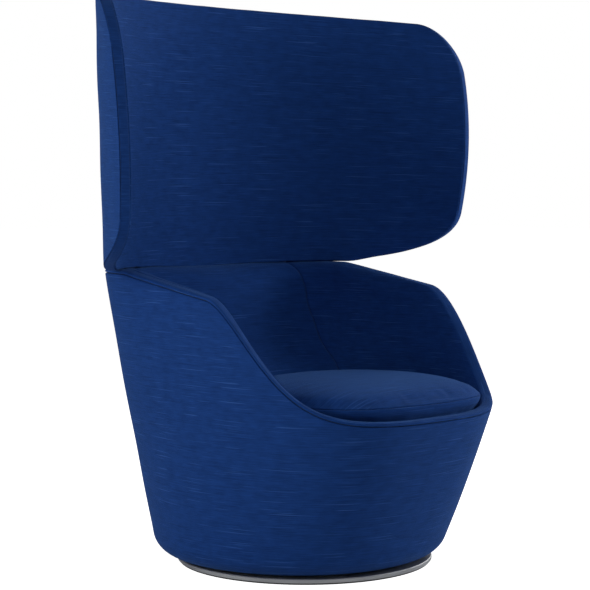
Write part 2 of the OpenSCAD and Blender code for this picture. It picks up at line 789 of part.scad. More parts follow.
// Point on the cushion's side at a share of its height, a distance outside it
function cushion_side(th, t, out) =
    let (z = mix(cushion_z, cushion_seam_z(th), t), p = cushion_edge(th, z),
        pull = draw_in * max(4 * t * (1 - t), 1 - side_rings * t), r = norm([p[0], p[1] - cushion_mid_y]),
        k = 1 + (out - pull) / r)
    [p[0] * k, mix(cushion_mid_y, p[1], k), z];

module seat_cushion() {
    n = cushion_columns;
    sides = [for (i = [0:side_rings]) [for (j = [0:n - 1]) cushion_side(turn(j, n), i / side_rings, 0)]];
    tops = [for (i = [top_rings - 1:-1:1]) let (share = i / top_rings) [for (j = [0:n - 1])
        let (th = turn(j, n), z = cushion_seam_z(th), p = cushion_edge(th, z))
            [p[0] * share, mix(cushion_mid_y, p[1], share), mix(crown_z, z, pow(share, crown_power))]]];
    rings = concat(sides, tops);
    m = len(rings);
    points = concat([for (r = rings) each r],
        [[0, cushion_mid_y, crown_z], [0, cushion_mid_y, cushion_z]]);
    walls = [for (i = [0:m - 2]) for (j = [0:n - 1]) let (k = (j + 1) % n)
        each [[i * n + j, (i + 1) * n + k, i * n + k], [i * n + j, (i + 1) * n + j, (i + 1) * n + k]]];
    top = [for (j = [0:n - 1]) [(m - 1) * n + j, m * n, (m - 1) * n + (j + 1) % n]];
    under = [for (j = [0:n - 1]) [(j + 1) % n, m * n + 1, j]];
    color(fabric_light) polyhedron(points = points, faces = concat(walls, top, under), convexity = 4);
}

// The zip runs along the waist of the cushion's side, behind the sitter
zip_t = 1.5;
zip_low_share = 0.44;
zip_high_share = 0.56;
zip_angle = 52.5;
zip_steps = 14;
module cushion_zip() {
    color(strap_colour) loft([for (j = [0:zip_steps]) let (th = 180 + zip_angle * (2 * j / zip_steps - 1)) [
        cushion_side(th, zip_low_share, clear + zip_t),
        cushion_side(th, zip_high_share, clear + zip_t),
        cushion_side(th, zip_high_share, clear),
        cushion_side(th, zip_low_share, clear)]], false);
}

floor_pad();
base_plate();
spindle();
spindle_screws();
lower_race();
bearing_balls();
thrust_washer();
spindle_nut();
upper_race();
swivel_hub();
hub_bolts();
bottom_board();
dust_cover();
support_ribs();
seat_frame();
cross_straps();
long_straps();
deck_pad();
shell_core();
outer_cover();
rim_band();
back_pad();
left_side_pad();
right_side_pad();
front_pad();
left_hood_bar();
right_hood_bar();
bar_clamps();
hood_core();
hood_inner_pad();
hood_outer_pad();
hood_edge_band();
seat_cushion();
cushion_zip();
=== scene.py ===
"""Dressed scene of a tub lounge chair with a wrapped acoustic hood.

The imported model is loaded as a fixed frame. Every length here is in metres, in that
frame: +Z is up, the chair faces -Y, and the origin is on the floor on the swivel axis.
In plan an angle of 0 looks to the front, 90 degrees to the +X arm and 180 to the back.
"""

import logging
import math
from dataclasses import dataclass, field
from enum import Enum

import bmesh
import bpy
import numpy as np
from mathutils import Euler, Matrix
from mathutils.kdtree import KDTree


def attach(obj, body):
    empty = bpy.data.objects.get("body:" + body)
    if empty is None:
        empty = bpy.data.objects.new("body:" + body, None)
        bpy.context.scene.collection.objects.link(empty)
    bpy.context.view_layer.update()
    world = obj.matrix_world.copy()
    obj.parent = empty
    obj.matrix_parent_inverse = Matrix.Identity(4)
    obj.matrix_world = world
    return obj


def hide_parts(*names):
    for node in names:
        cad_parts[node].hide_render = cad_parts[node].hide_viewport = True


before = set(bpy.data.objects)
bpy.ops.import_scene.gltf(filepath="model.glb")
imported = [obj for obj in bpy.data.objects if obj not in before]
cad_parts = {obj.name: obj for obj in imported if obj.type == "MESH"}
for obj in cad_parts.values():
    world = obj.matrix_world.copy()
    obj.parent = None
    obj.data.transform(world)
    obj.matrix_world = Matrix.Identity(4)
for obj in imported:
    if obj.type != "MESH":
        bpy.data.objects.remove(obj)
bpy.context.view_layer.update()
LOG = logging.getLogger("lounge_chair")
Array = np.ndarray
Material = bpy.types.Material
Node = bpy.types.Node
Object = bpy.types.Object
Socket = bpy.types.NodeSocket
Tree = bpy.types.NodeTree
Values = dict[str | int, object]
Colour = tuple[float, float, float]
Paths = list[tuple[Array, Array]]


def clamp01(t: Array) -> Array:
    """Limits values to the range 0 to 1."""
    return np.clip(t, 0.0, 1.0)


def ease(t: Array) -> Array:
    """Smooth step from 0 to 1, flat at both ends."""
    u = clamp01(t)
    return u * u * (3 - 2 * u)


def mix(a: Array, b: Array, t: Array) -> Array:
    """Blends a into b as t goes from 0 to 1."""
    return a + (b - a) * t


def unit(vectors: Array) -> Array:
    """Vectors of length 1 in the same directions."""
    return vectors / np.maximum(np.linalg.norm(vectors, axis=-1, keepdims=True), 1e-12)


def ends_dense(count: int, pull: float = 0.7) -> Array:
    """Shares from 0 to 1 that lie closer together at both ends.

    Args:
        count: Number of steps.
        pull: How strongly they crowd at the ends, 0 for even steps.

    Returns:
        count + 1 shares.
    """
    t = np.linspace(0, 1, count + 1)
    return mix(t, (1 - np.cos(np.pi * t)) / 2, pull)


def ripple(u: Array, v: Array, seed: int, size: float) -> Array:
    """Soft uneven swell of cloth, between about -1 and 1.

    Args:
        u: First coordinate in metres.
        v: Second coordinate in metres.
        seed: Seed of the phases.
        size: Size of a typical swell in metres.

    Returns:
        The swell at each point.
    """
    rng = np.random.default_rng(seed)
    total = np.zeros(np.broadcast(u, v).shape)
    for _ in range(7):
        angle, phase, share = rng.uniform(0, 2 * np.pi), rng.uniform(0, 2 * np.pi), rng.uniform(0.7, 1.9)
        k = 2 * np.pi / (size * share)
        total += np.sin(k * (np.cos(angle) * u + np.sin(angle) * v) + phase)
    return total / 4.0


# Meshes


def add_object(name: str, data: bpy.types.ID) -> Object:
    """Adds an object to the scene, at the origin.

    Args:
        name: Object name.
        data: Its mesh, lamp or camera.

    Returns:
        The new object.
    """
    obj = bpy.data.objects.new(name, data)
    bpy.context.scene.collection.objects.link(obj)
    return obj


def make_object(name: str, points: Array, faces: list[tuple[int, ...]],
                uvs: Array | None = None) -> Object:
    """Makes a smooth mesh object at the origin, with its faces outwards.

    Args:
        name: Object name.
        points: Vertex places, N by 3.
        faces: Vertex numbers of each face.
        uvs: A UV in metres for each face corner, in the order of the faces.

    Returns:
        The new object, linked to the scene.
    """
    mesh = bpy.data.meshes.new(name)
    mesh.from_pydata(np.asarray(points, float).tolist(), [], faces)
    if uvs is not None:
        layer = mesh.uv_layers.new(name="weave")
        layer.data.foreach_set("uv", np.asarray(uvs, np.float32).ravel())
    mesh.polygons.foreach_set("use_smooth", [True] * len(mesh.polygons))
    bm = bmesh.new()
    bm.from_mesh(mesh)
    bmesh.ops.recalc_face_normals(bm, faces=bm.faces)
    bm.to_mesh(mesh)
    bm.free()
    mesh.update()
    return add_object(name, mesh)


def loft_rings(name: str, rings: Array, uvs: Array, closed: bool) -> Object:
    """Makes a closed solid that runs through rings of points.

    Args:
        name: Object name.
        rings: Points, ring by ring: rings by points by 3. Point i lies across from the
            last point less i, so an open end is closed with a ladder of quads.
        uvs: UVs of the same layout, with one more point on each ring for its joint, and
            one more ring if the loft is closed.
        closed: True if the last ring joins the first.

    Returns:
        The new object.
    """
    m, n = rings.shape[:2]
    faces: list[tuple[int, ...]] = []
    corners: list[Array] = []
    for j in range(m if closed else m - 1):
        k = (j + 1) % m
        for i in range(n):
            p = (i + 1) % n
            faces.append((j * n + i, k * n + i, k * n + p, j * n + p))
            corners.append(np.stack([uvs[j, i], uvs[j + 1, i], uvs[j + 1, i + 1], uvs[j, i + 1]]))
    if not closed:
        for j, base in ((0, 0), (m - 1, (m - 1) * n)):
            for i in range(n // 2 - 1):
                q = n - 1 - i
                quad = (i, i + 1, q - 1, q)
                faces.append(tuple(base + c for c in quad))
                corners.append(np.stack([uvs[j, c] for c in quad]))
    return make_object(name, rings.reshape(-1, 3), faces, np.concatenate(corners))


def chain_lengths(points: Array, axis: int) -> Array:
    """Running length along one axis of a grid of points.

    Args:
        points: Grid of points.
        axis: Axis that the length runs along.

    Returns:
        Length up to each point.
    """
    steps = np.linalg.norm(np.diff(points, axis=axis), axis=-1)
    zero = np.zeros_like(np.take(steps, [0], axis=axis))
    return np.concatenate([zero, np.cumsum(steps, axis=axis)], axis=axis)


def ring_uvs(rings: Array, closed: bool, along: Array | None = None) -> Array:
    """UVs in metres for a loft: u runs along the loft and v round each ring.

    Args:
        rings: Points, ring by ring.
        closed: True if the last ring joins the first.
        along: Length along the loft at each ring, for even threads.

    Returns:
        UVs with one more point on each ring, and one more ring if closed.
    """
    looped = np.concatenate([rings, rings[:, :1]], axis=1)
    if closed:
        looped = np.concatenate([looped, looped[:1]], axis=0)
    v = chain_lengths(looped, 1)
    if along is None:
        along = chain_lengths(looped, 0).mean(axis=1)
    u = np.broadcast_to(along[:, None], v.shape)
    return np.stack([u, v], axis=-1)


# Nodes and finishes


def put(tree: Tree, socket: Socket, value: object) -> None:
    """Links a socket to another one, or sets its value.

    Args:
        tree: Tree of both sockets.
        socket: Input to fill.
        value: A socket, or a plain value.
    """
    if isinstance(value, Socket):
        tree.links.new(value, socket)
    else:
        socket.default_value = value


def add_node(tree: Tree, kind: str, values: Values | None = None, **settings: object) -> Node:
    """Adds a node to a tree.

    Args:
        tree: The tree.
        kind: Blender's name of the node type.
        values: Input values, or sockets to link, by input name or number.
        settings: Properties of the node.

    Returns:
        The node.
    """
    node = tree.nodes.new(kind)
    for key, value in settings.items():
        setattr(node, key, value)
    for key, value in (values or {}).items():
        put(tree, node.inputs[key], value)
    return node


def scaled(colour: Colour, share: float) -> Colour:
    """A colour with its light scaled."""
    return tuple(share * c for c in colour)


class Sheet:
    """Adds and links the nodes of one material.

    Attributes:
        material: The material.
        shader: Its Principled shader.
    """

    def __init__(self, name: str) -> None:
        """Starts a material with the standard shader.

        Args:
            name: Name of the material.
        """
        self.material = bpy.data.materials.new(name)
        self.material.use_nodes = True
        self.tree = self.material.node_tree
        self.shader = self.tree.nodes["Principled BSDF"]

    def put(self, name: str, value: object) -> None:
        """Links or sets one input of the shader."""
        put(self.tree, self.shader.inputs[name], value)

    def math(self, operation: str, *values: object) -> Socket:
        """Adds a math node and returns its result."""
        node = add_node(self.tree, "ShaderNodeMath", dict(enumerate(values)), operation=operation)
        return node.outputs[0]

    def times(self, a: object, b: object) -> Socket:
        """Product of two values."""
        return self.math("MULTIPLY", a, b)

    def plus(self, a: object, b: object) -> Socket:
        """Sum of two values."""
        return self.math("ADD", a, b)

    def vector(self, x: object, y: object, z: object = 0.0) -> Socket:
        """Joins three numbers to a vector."""
        return add_node(self.tree, "ShaderNodeCombineXYZ", {0: x, 1: y, 2: z}).outputs[0]

    def split(self, vector: Socket) -> bpy.types.bpy_prop_collection:
        """Splits a vector into its three numbers."""
        return add_node(self.tree, "ShaderNodeSeparateXYZ", {0: vector}).outputs

    def noise(self, vector: object, scale: float, detail: float = 2.0, rough: float = 0.5) -> Socket:
        """Adds a noise texture and returns its value, about 0.5 in the middle."""
        values = {"Vector": vector, "Scale": scale, "Detail": detail, "Roughness": rough}
        return add_node(self.tree, "ShaderNodeTexNoise", values).outputs[0]

    def streaks(self, plane: tuple[Socket, Socket], across: float, up: float, shift: object,
                detail: float) -> Socket:
        """Adds noise that is stretched over a plane.

        Args:
            plane: The two coordinates of the plane.
            across: Scale along the first one.
            up: Scale along the second one.
            shift: Place of the plane in the noise.
            detail: Detail of the noise.

        Returns:
            The noise, about 0.5 in the middle.
        """
        place = self.vector(self.times(plane[0], across), self.times(plane[1], up), shift)
        return self.noise(place, 1.0, detail)

    def ramp(self, value: object, low: float = 0.3, high: float = 0.7) -> Socket:
        """Smooth step of a value from 0 at low to 1 at high.

        Args:
            value: The value.
            low: Where the step starts.
            high: Where it ends.

        Returns:
            The stepped value.
        """
        values = {0: value, 1: low, 2: high}
        node = add_node(self.tree, "ShaderNodeMapRange", values, interpolation_type="SMOOTHSTEP")
        return node.outputs[0]

    def tint(self, share: object, a: Colour | Socket, b: Colour | Socket) -> Socket:
        """Mixes two colours by a share.

        Args:
            share: Share of the second colour.
            a: First colour.
            b: Second colour.

        Returns:
            The mixed colour.
        """
        sides = [(*side, 1.0) if isinstance(side, tuple) else side for side in (a, b)]
        values = {0: share, 6: sides[0], 7: sides[1]}
        return add_node(self.tree, "ShaderNodeMix", values, data_type="RGBA").outputs[2]

    def roughen(self, texture: Socket, swing: float, base: float) -> None:
        """Lets a texture add up to a swing to the base roughness."""
        self.put("Roughness", self.plus(self.times(texture, swing), base))

    def bump(self, height: object, distance: float, strength: float) -> None:
        """Drives the shader's normal by a height."""
        values = {"Height": height, "Distance": distance, "Strength": strength}
        self.put("Normal", add_node(self.tree, "ShaderNodeBump", values).outputs[0])

    def place(self) -> Socket:
        """Object coordinates, in metres."""
        return add_node(self.tree, "ShaderNodeTexCoord").outputs["Object"]

    def weave_place(self) -> tuple[Socket, Socket]:
        """The piece's own UV in metres, as two numbers."""
        u, v, _ = self.split(add_node(self.tree, "ShaderNodeUVMap", uv_map="weave").outputs[0])
        return u, v


@dataclass(frozen=True)
class SlubCloth:
    """Woven upholstery cloth with slubs along its weft.

    Attributes:
        name: Name of the material.
        light: Colour of its light threads.
        dark: Colour of its dark threads.
        slub: Colour of the few thick light slubs.
        glow: Colour of the sheen of its fibres.
        thread: Distance between two threads.
        sheen: Weight of the sheen.
    """

    name: str = "slub_cloth"
    light: Colour = (0.0165, 0.076, 0.330)
    dark: Colour = (0.0060, 0.030, 0.140)
    slub: Colour = (0.050, 0.150, 0.480)
    glow: Colour = (0.24, 0.52, 1.0)
    thread: float = 0.0011
    sheen: float = 0.16

    def build(self) -> Material:
        """Builds the material.

        Returns:
            The material.
        """
        s = Sheet(self.name)
        plane = s.weave_place()
        u, v = plane
        turn = 2 * math.pi / self.thread
        weave = s.times(s.math("SINE", s.times(u, turn)), s.math("SINE", s.times(v, turn)))
        streak = s.streaks(plane, 13, 600, 0.0, 1.0)
        fleck = s.streaks(plane, 34, 900, 5.0, 1.0)
        yarn = s.streaks(plane, 90, 1500, 3.0, 2.0)
        mottle = s.noise(s.vector(u, s.times(v, 1.7), 11.0), 30.0, 3.0)
        share: Socket | float = 0.5
        for texture, strength in ((streak, 0.7), (fleck, 0.6), (yarn, 0.4), (mottle, 0.6)):
            share = s.plus(share, s.times(s.math("SUBTRACT", texture, 0.5), strength))
        thick = s.times(s.ramp(s.streaks(plane, 8, 500, 9.0, 0.0), 0.72, 0.78), 0.60)
        thin = s.times(s.ramp(s.streaks(plane, 7, 520, 17.0, 0.0), 0.68, 0.76), 0.55)
        yarns = s.tint(thin, s.tint(share, self.dark, self.light), self.dark)
        s.put("Base Color", s.tint(thick, yarns, self.slub))
        s.roughen(yarn, 0.12, 0.78)
        s.put("Specular IOR Level", 0.06)
        s.put("Sheen Weight", self.sheen)
        s.put("Sheen Roughness", 0.45)
        s.put("Sheen Tint", (*self.glow, 1.0))
        height = s.plus(s.times(weave, 0.22), s.times(yarn, 0.6))
        s.bump(s.plus(height, s.times(share, 0.5)), 0.0005, 0.5)
        return s.material


@dataclass(frozen=True)
class PlainCloth:
    """Plain technical cloth, felt or webbing on Object coordinates.

    Attributes:
        name: Name of the material.
        base: Main colour.
        grain: Size of its grain.
        ribs: Distance between woven ribs, or 0 for felt.
    """

    name: str
    base: Colour
    grain: float = 0.0015
    ribs: float = 0.0

    def build(self) -> Material:
        """Builds the material.

        Returns:
            The material.
        """
        s = Sheet(self.name)
        place = s.place()
        fuzz = s.noise(place, 1 / self.grain, 4.0, 0.7)
        soft = s.times(s.noise(place, 28.0, 3.0), 0.3)
        colour = s.tint(s.ramp(fuzz), scaled(self.base, 0.7), scaled(self.base, 1.25))
        s.put("Base Color", s.tint(soft, colour, scaled(self.base, 0.6)))
        s.roughen(fuzz, 0.15, 0.8)
        height = fuzz
        if self.ribs:
            x, y, _ = s.split(place)
            turn = 2 * math.pi / self.ribs
            rib = s.times(s.math("SINE", s.times(x, turn)), s.math("SINE", s.times(y, turn)))
            height = s.plus(s.times(rib, 0.5), fuzz)
        s.bump(height, 0.0006, 0.6)
        return s.material


class Brush(Enum):
    """Direction of the fine marks on a metal."""

    RINGS = "rings"
    LENGTH = "length"


@dataclass(frozen=True)
class Metal:
    """Bare or plated metal.

    Attributes:
        name: Name of the material.
        base: Main colour.
        rough: Mean roughness.
        brush: Direction of the fine marks.
    """

    name: str
    base: Colour
    rough: float = 0.35
    brush: Brush = Brush.RINGS

    def build(self) -> Material:
        """Builds the material.

        Returns:
            The material.
        """
        s = Sheet(self.name)
        place = s.place()
        x, y, z = s.split(place)
        if self.brush is Brush.RINGS:
            radius = s.math("SQRT", s.plus(s.times(x, x), s.times(y, y)))
            marks = s.streaks((radius, z), 2600, 2600, 0.0, 2.0)
        else:
            marks = s.streaks((x, y), 1500, 1500, s.times(z, 20), 2.0)
        cloud = s.noise(place, 9.0, 4.0)
        s.put("Base Color", s.tint(s.ramp(cloud), scaled(self.base, 0.88), self.base))
        s.roughen(s.plus(marks, cloud), 0.16, self.rough - 0.16)
        s.put("Metallic", 1.0)
        s.bump(marks, 0.00008, 0.35)
        return s.material


@dataclass(frozen=True)
class Plywood:
    """Birch plywood: grain on its face and veneers on its edge.

    Attributes:
        name: Name of the material.
        veneer: Thickness of one veneer.
    """

    name: str = "birch_ply"
    veneer: float = 0.0015

    def build(self) -> Material:
        """Builds the material.

        Returns:
            The material.
        """
        s = Sheet(self.name)
        place = s.place()
        x, y, z = s.split(place)
        drift = s.times(s.noise(place, 3.0, 2.0), 0.05)
        grain = s.noise(s.vector(s.times(x, 3), s.times(s.plus(y, drift), 90)), 1.0, 5.0, 0.65)
        layers = s.math("SINE", s.times(z, math.pi / self.veneer))
        normal = add_node(s.tree, "ShaderNodeNewGeometry").outputs["Normal"]
        upright = s.math("ABSOLUTE", s.split(normal)[2])
        face = s.tint(s.ramp(grain), (0.47, 0.31, 0.16), (0.62, 0.44, 0.26))
        edge = s.tint(s.ramp(layers, -0.4, 0.4), (0.33, 0.20, 0.10), (0.60, 0.42, 0.24))
        s.put("Base Color", s.tint(s.ramp(upright, 0.4, 0.6), edge, face))
        s.roughen(grain, 0.2, 0.55)
        s.bump(grain, 0.0003, 0.3)
        return s.material


@dataclass(frozen=True)
class Moulded:
    """Moulded plastic or rubber with a fine surface texture.

    Attributes:
        name: Name of the material.
        base: Main colour.
        rough: Mean roughness.
        grain: Size of the texture.
    """

    name: str
    base: Colour
    rough: float = 0.5
    grain: float = 0.0008

    def build(self) -> Material:
        """Builds the material.

        Returns:
            The material.
        """
        s = Sheet(self.name)
        place = s.place()
        texture = s.noise(place, 1 / self.grain, 2.0)
        cloud = s.ramp(s.noise(place, 12.0, 3.0))
        s.put("Base Color", s.tint(cloud, scaled(self.base, 0.85), scaled(self.base, 1.1)))
        s.roughen(texture, 0.2, self.rough - 0.1)
        s.bump(texture, 0.0002, 0.3)
        return s.material


@dataclass
class Finishes:
    """All finishes of the chair, each built once."""

    cloth: Material
    seam: Material
    felt: Material
    webbing: Material
    dust_cloth: Material
    plate: Material
    swivel: Material
    bar: Material
    ply: Material
    shell: Material
    rubber: Material
    zip_tape: Material
    zip_teeth: Material


def build_finishes() -> Finishes:
    """Builds every finish.

    Returns:
        All finishes.
    """
    looks = {
        "cloth": SlubCloth(),
        "seam": Moulded("seam_thread", (0.010, 0.035, 0.11), 0.8, 0.0004),
        "felt": PlainCloth("deck_felt", (0.06, 0.06, 0.065)),
        "webbing": PlainCloth("webbing", (0.045, 0.04, 0.04), 0.0008, 0.0035),
        "dust_cloth": PlainCloth("dust_cloth", (0.03, 0.03, 0.03), 0.0010, 0.0016),
        "plate": Metal("plate_steel", (0.42, 0.43, 0.44), 0.42),
        "swivel": Metal("swivel_steel", (0.56, 0.57, 0.58), 0.3),
        "bar": Metal("bar_steel", (0.48, 0.49, 0.50), 0.38, Brush.LENGTH),
        "ply": Plywood(),
        "shell": Moulded("shell_plastic", (0.06, 0.06, 0.065), 0.55),
        "rubber": Moulded("floor_rubber", (0.02, 0.02, 0.02), 0.75, 0.0015),
        "zip_tape": PlainCloth("zip_tape", (0.012, 0.03, 0.08), 0.0006, 0.0009),
        "zip_teeth": Moulded("zip_teeth", (0.02, 0.04, 0.09), 0.35),
    }
    return Finishes(**{name: look.build() for name, look in looks.items()})


def finish_piece(obj: Object, material: Material, slot: str, body: str, fill: float | None,
                 *nodes: str) -> None:
    """Gives a finished piece its material, its place in the model and its body.

    Args:
        obj: The piece.
        material: Its finish.
        slot: The record's material slot; not used.
        body: The body that it rides on.
        fill: How tightly it is padded, or None for a hard piece; not used.
        nodes: The model's nodes that it replaces.
    """
    obj.data.materials.clear()
    obj.data.materials.append(material)
    if nodes:
        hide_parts(*nodes)
    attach(obj, body)
    LOG.info("%s: %d faces on %s", obj.name, len(obj.data.polygons), body)


# Rows of small pieces


class RowShape(Enum):
    """Shape of the small pieces in a row."""

    STITCH = "stitch"
    TOOTH = "tooth"
    STAPLE = "staple"


@dataclass
class Row:
    """A row of equal small pieces along paths, made with Geometry Nodes.

    Attributes:
        name: Name of the finished piece.
        shape: Shape of its small pieces.
        pitch: Distance between them along the path.
        size: Their length, width and height.
        side_step: Distance by which every other one stands aside.
        seed: Seed of their small differences.
    """

    name: str
    shape: RowShape
    pitch: float
    size: tuple[float, float, float]
    side_step: float = 0.0
    seed: int = 1

    def tree(self) -> Tree:
        """Builds the node tree that lays the pieces along a path.

        Returns:
            The tree, with an input for each size.
        """
        tree = bpy.data.node_groups.new(f"{self.name}_row", "GeometryNodeTree")
        sockets = (("Path", "Geometry"), ("Pitch", "Float"), ("Size", "Vector"), ("Side step", "Float"),
                   ("Seed", "Int"), ("Finish", "Material"))
        for label, kind in sockets:
            tree.interface.new_socket(name=label, in_out="INPUT", socket_type=f"NodeSocket{kind}")
        tree.interface.new_socket(name="Pieces", in_out="OUTPUT", socket_type="NodeSocketGeometry")

        def add(kind: str, values: Values | None = None, **settings: object) -> Node:
            """Adds a node to this tree."""
            return add_node(tree, kind, values, **settings)

        def out(kind: str, values: Values | None = None, **settings: object) -> Socket:
            """Adds a node to this tree and returns its first output."""
            return add(kind, values, **settings).outputs[0]

        source = add("NodeGroupInput").outputs
        curve = out("GeometryNodeMeshToCurve", {"Mesh": source["Path"]})
        values = {"Curve": curve, "Length": source["Pitch"]}
        even = out("GeometryNodeResampleCurve", values, mode="LENGTH")
        facing = out("GeometryNodeInputNamedAttribute", {"Name": "facing"}, data_type="FLOAT_VECTOR")
        tangent = out("GeometryNodeInputTangent")
        parity = out("ShaderNodeMath", {0: out("GeometryNodeInputIndex"), 1: 2.0}, operation="MODULO")
        turn = out("ShaderNodeMath", {0: parity, 1: 0.5}, operation="SUBTRACT")
        reach = out("ShaderNodeMath", {0: turn, 1: source["Side step"]}, operation="MULTIPLY")
        across = out("ShaderNodeVectorMath", {0: tangent, 1: facing}, operation="CROSS_PRODUCT")
        shift = out("ShaderNodeVectorMath", {0: across, "Scale": reach}, operation="SCALE")
        placed = out("GeometryNodeSetPosition", {"Geometry": even, "Offset": shift})
        if self.shape is RowShape.STITCH:
            ball = out("GeometryNodeMeshUVSphere", {"Segments": 6, "Rings": 5, "Radius": 0.5})
            piece = out("GeometryNodeTransform", {"Geometry": ball, "Scale": source["Size"]})
        else:
            piece = out("GeometryNodeMeshCube", {"Size": source["Size"]})
        upright = out("FunctionNodeAlignRotationToVector", {"Vector": facing}, axis="Z")
        values = {"Rotation": upright, "Vector": tangent}
        along = out("FunctionNodeAlignRotationToVector", values, axis="X", pivot_axis="Z")
        values = {2: 0.93, 3: 1.04, "Seed": source["Seed"]}
        vary = add("FunctionNodeRandomValue", values, data_type="FLOAT").outputs[1]
        values = {"Points": placed, "Instance": piece, "Rotation": along, "Scale": vary}
        laid = out("GeometryNodeInstanceOnPoints", values)
        real = out("GeometryNodeRealizeInstances", {"Geometry": laid})
        dressed = out("GeometryNodeSetMaterial", {"Geometry": real, "Material": source["Finish"]})
        add("NodeGroupOutput", {0: dressed})
        return tree

    def lay(self, paths: Paths, material: Material, slot: str, body: str) -> None:
        """Lays the row along paths, turns it into a plain mesh and dresses it.

        Args:
            paths: Points and outward directions of each path, N by 3 each.
            material: Finish of the pieces.
            slot: The record's material slot.
            body: The body that it rides on.
        """
        points = np.concatenate([path for path, _ in paths])
        facing = np.concatenate([way for _, way in paths])
        starts = np.cumsum([0] + [len(path) for path, _ in paths])
        edges = [(i, i + 1) for a, b in zip(starts[:-1], starts[1:]) for i in range(a, b - 1)]
        mesh = bpy.data.meshes.new(f"{self.name}_path")
        mesh.from_pydata(points.tolist(), edges, [])
        layer = mesh.attributes.new("facing", "FLOAT_VECTOR", "POINT")
        layer.data.foreach_set("vector", facing.astype(np.float32).ravel())
        obj = add_object(self.name, mesh)
        tree = self.tree()
        row = obj.modifiers.new("row", "NODES")
        row.node_group = tree
        values = {"Pitch": self.pitch, "Size": self.size, "Side step": self.side_step}
        values |= {"Seed": self.seed, "Finish": material}
        for item in tree.interface.items_tree:
            if item.name in values:
                row[item.identifier] = values[item.name]
        apply_modifiers(obj)
        finish_piece(obj, material, slot, body, None)


def stitch_row(name: str, seed: int, width: float = 0.0008) -> Row:
    """A row of sewing stitches."""
    return Row(name, RowShape.STITCH, 0.0055, (0.0042, width, width), seed=seed)


def apply_modifiers(obj: Object) -> None:
    """Turns an object's modifiers into its mesh.

    Args:
        obj: The object.
    """
    graph = bpy.context.evaluated_depsgraph_get()
    mesh = bpy.data.meshes.new_from_object(obj.evaluated_get(graph))
    obj.modifiers.clear()
    old, obj.data = obj.data, mesh
    bpy.data.meshes.remove(old)


def read_points(obj: Object) -> Array:
    """Vertex places of a piece.

    Args:
        obj: The piece.

    Returns:
        N by 3 places.
    """
    flat = np.empty(len(obj.data.vertices) * 3)
    obj.data.vertices.foreach_get("co", flat)
    return flat.reshape(-1, 3)


# Tub


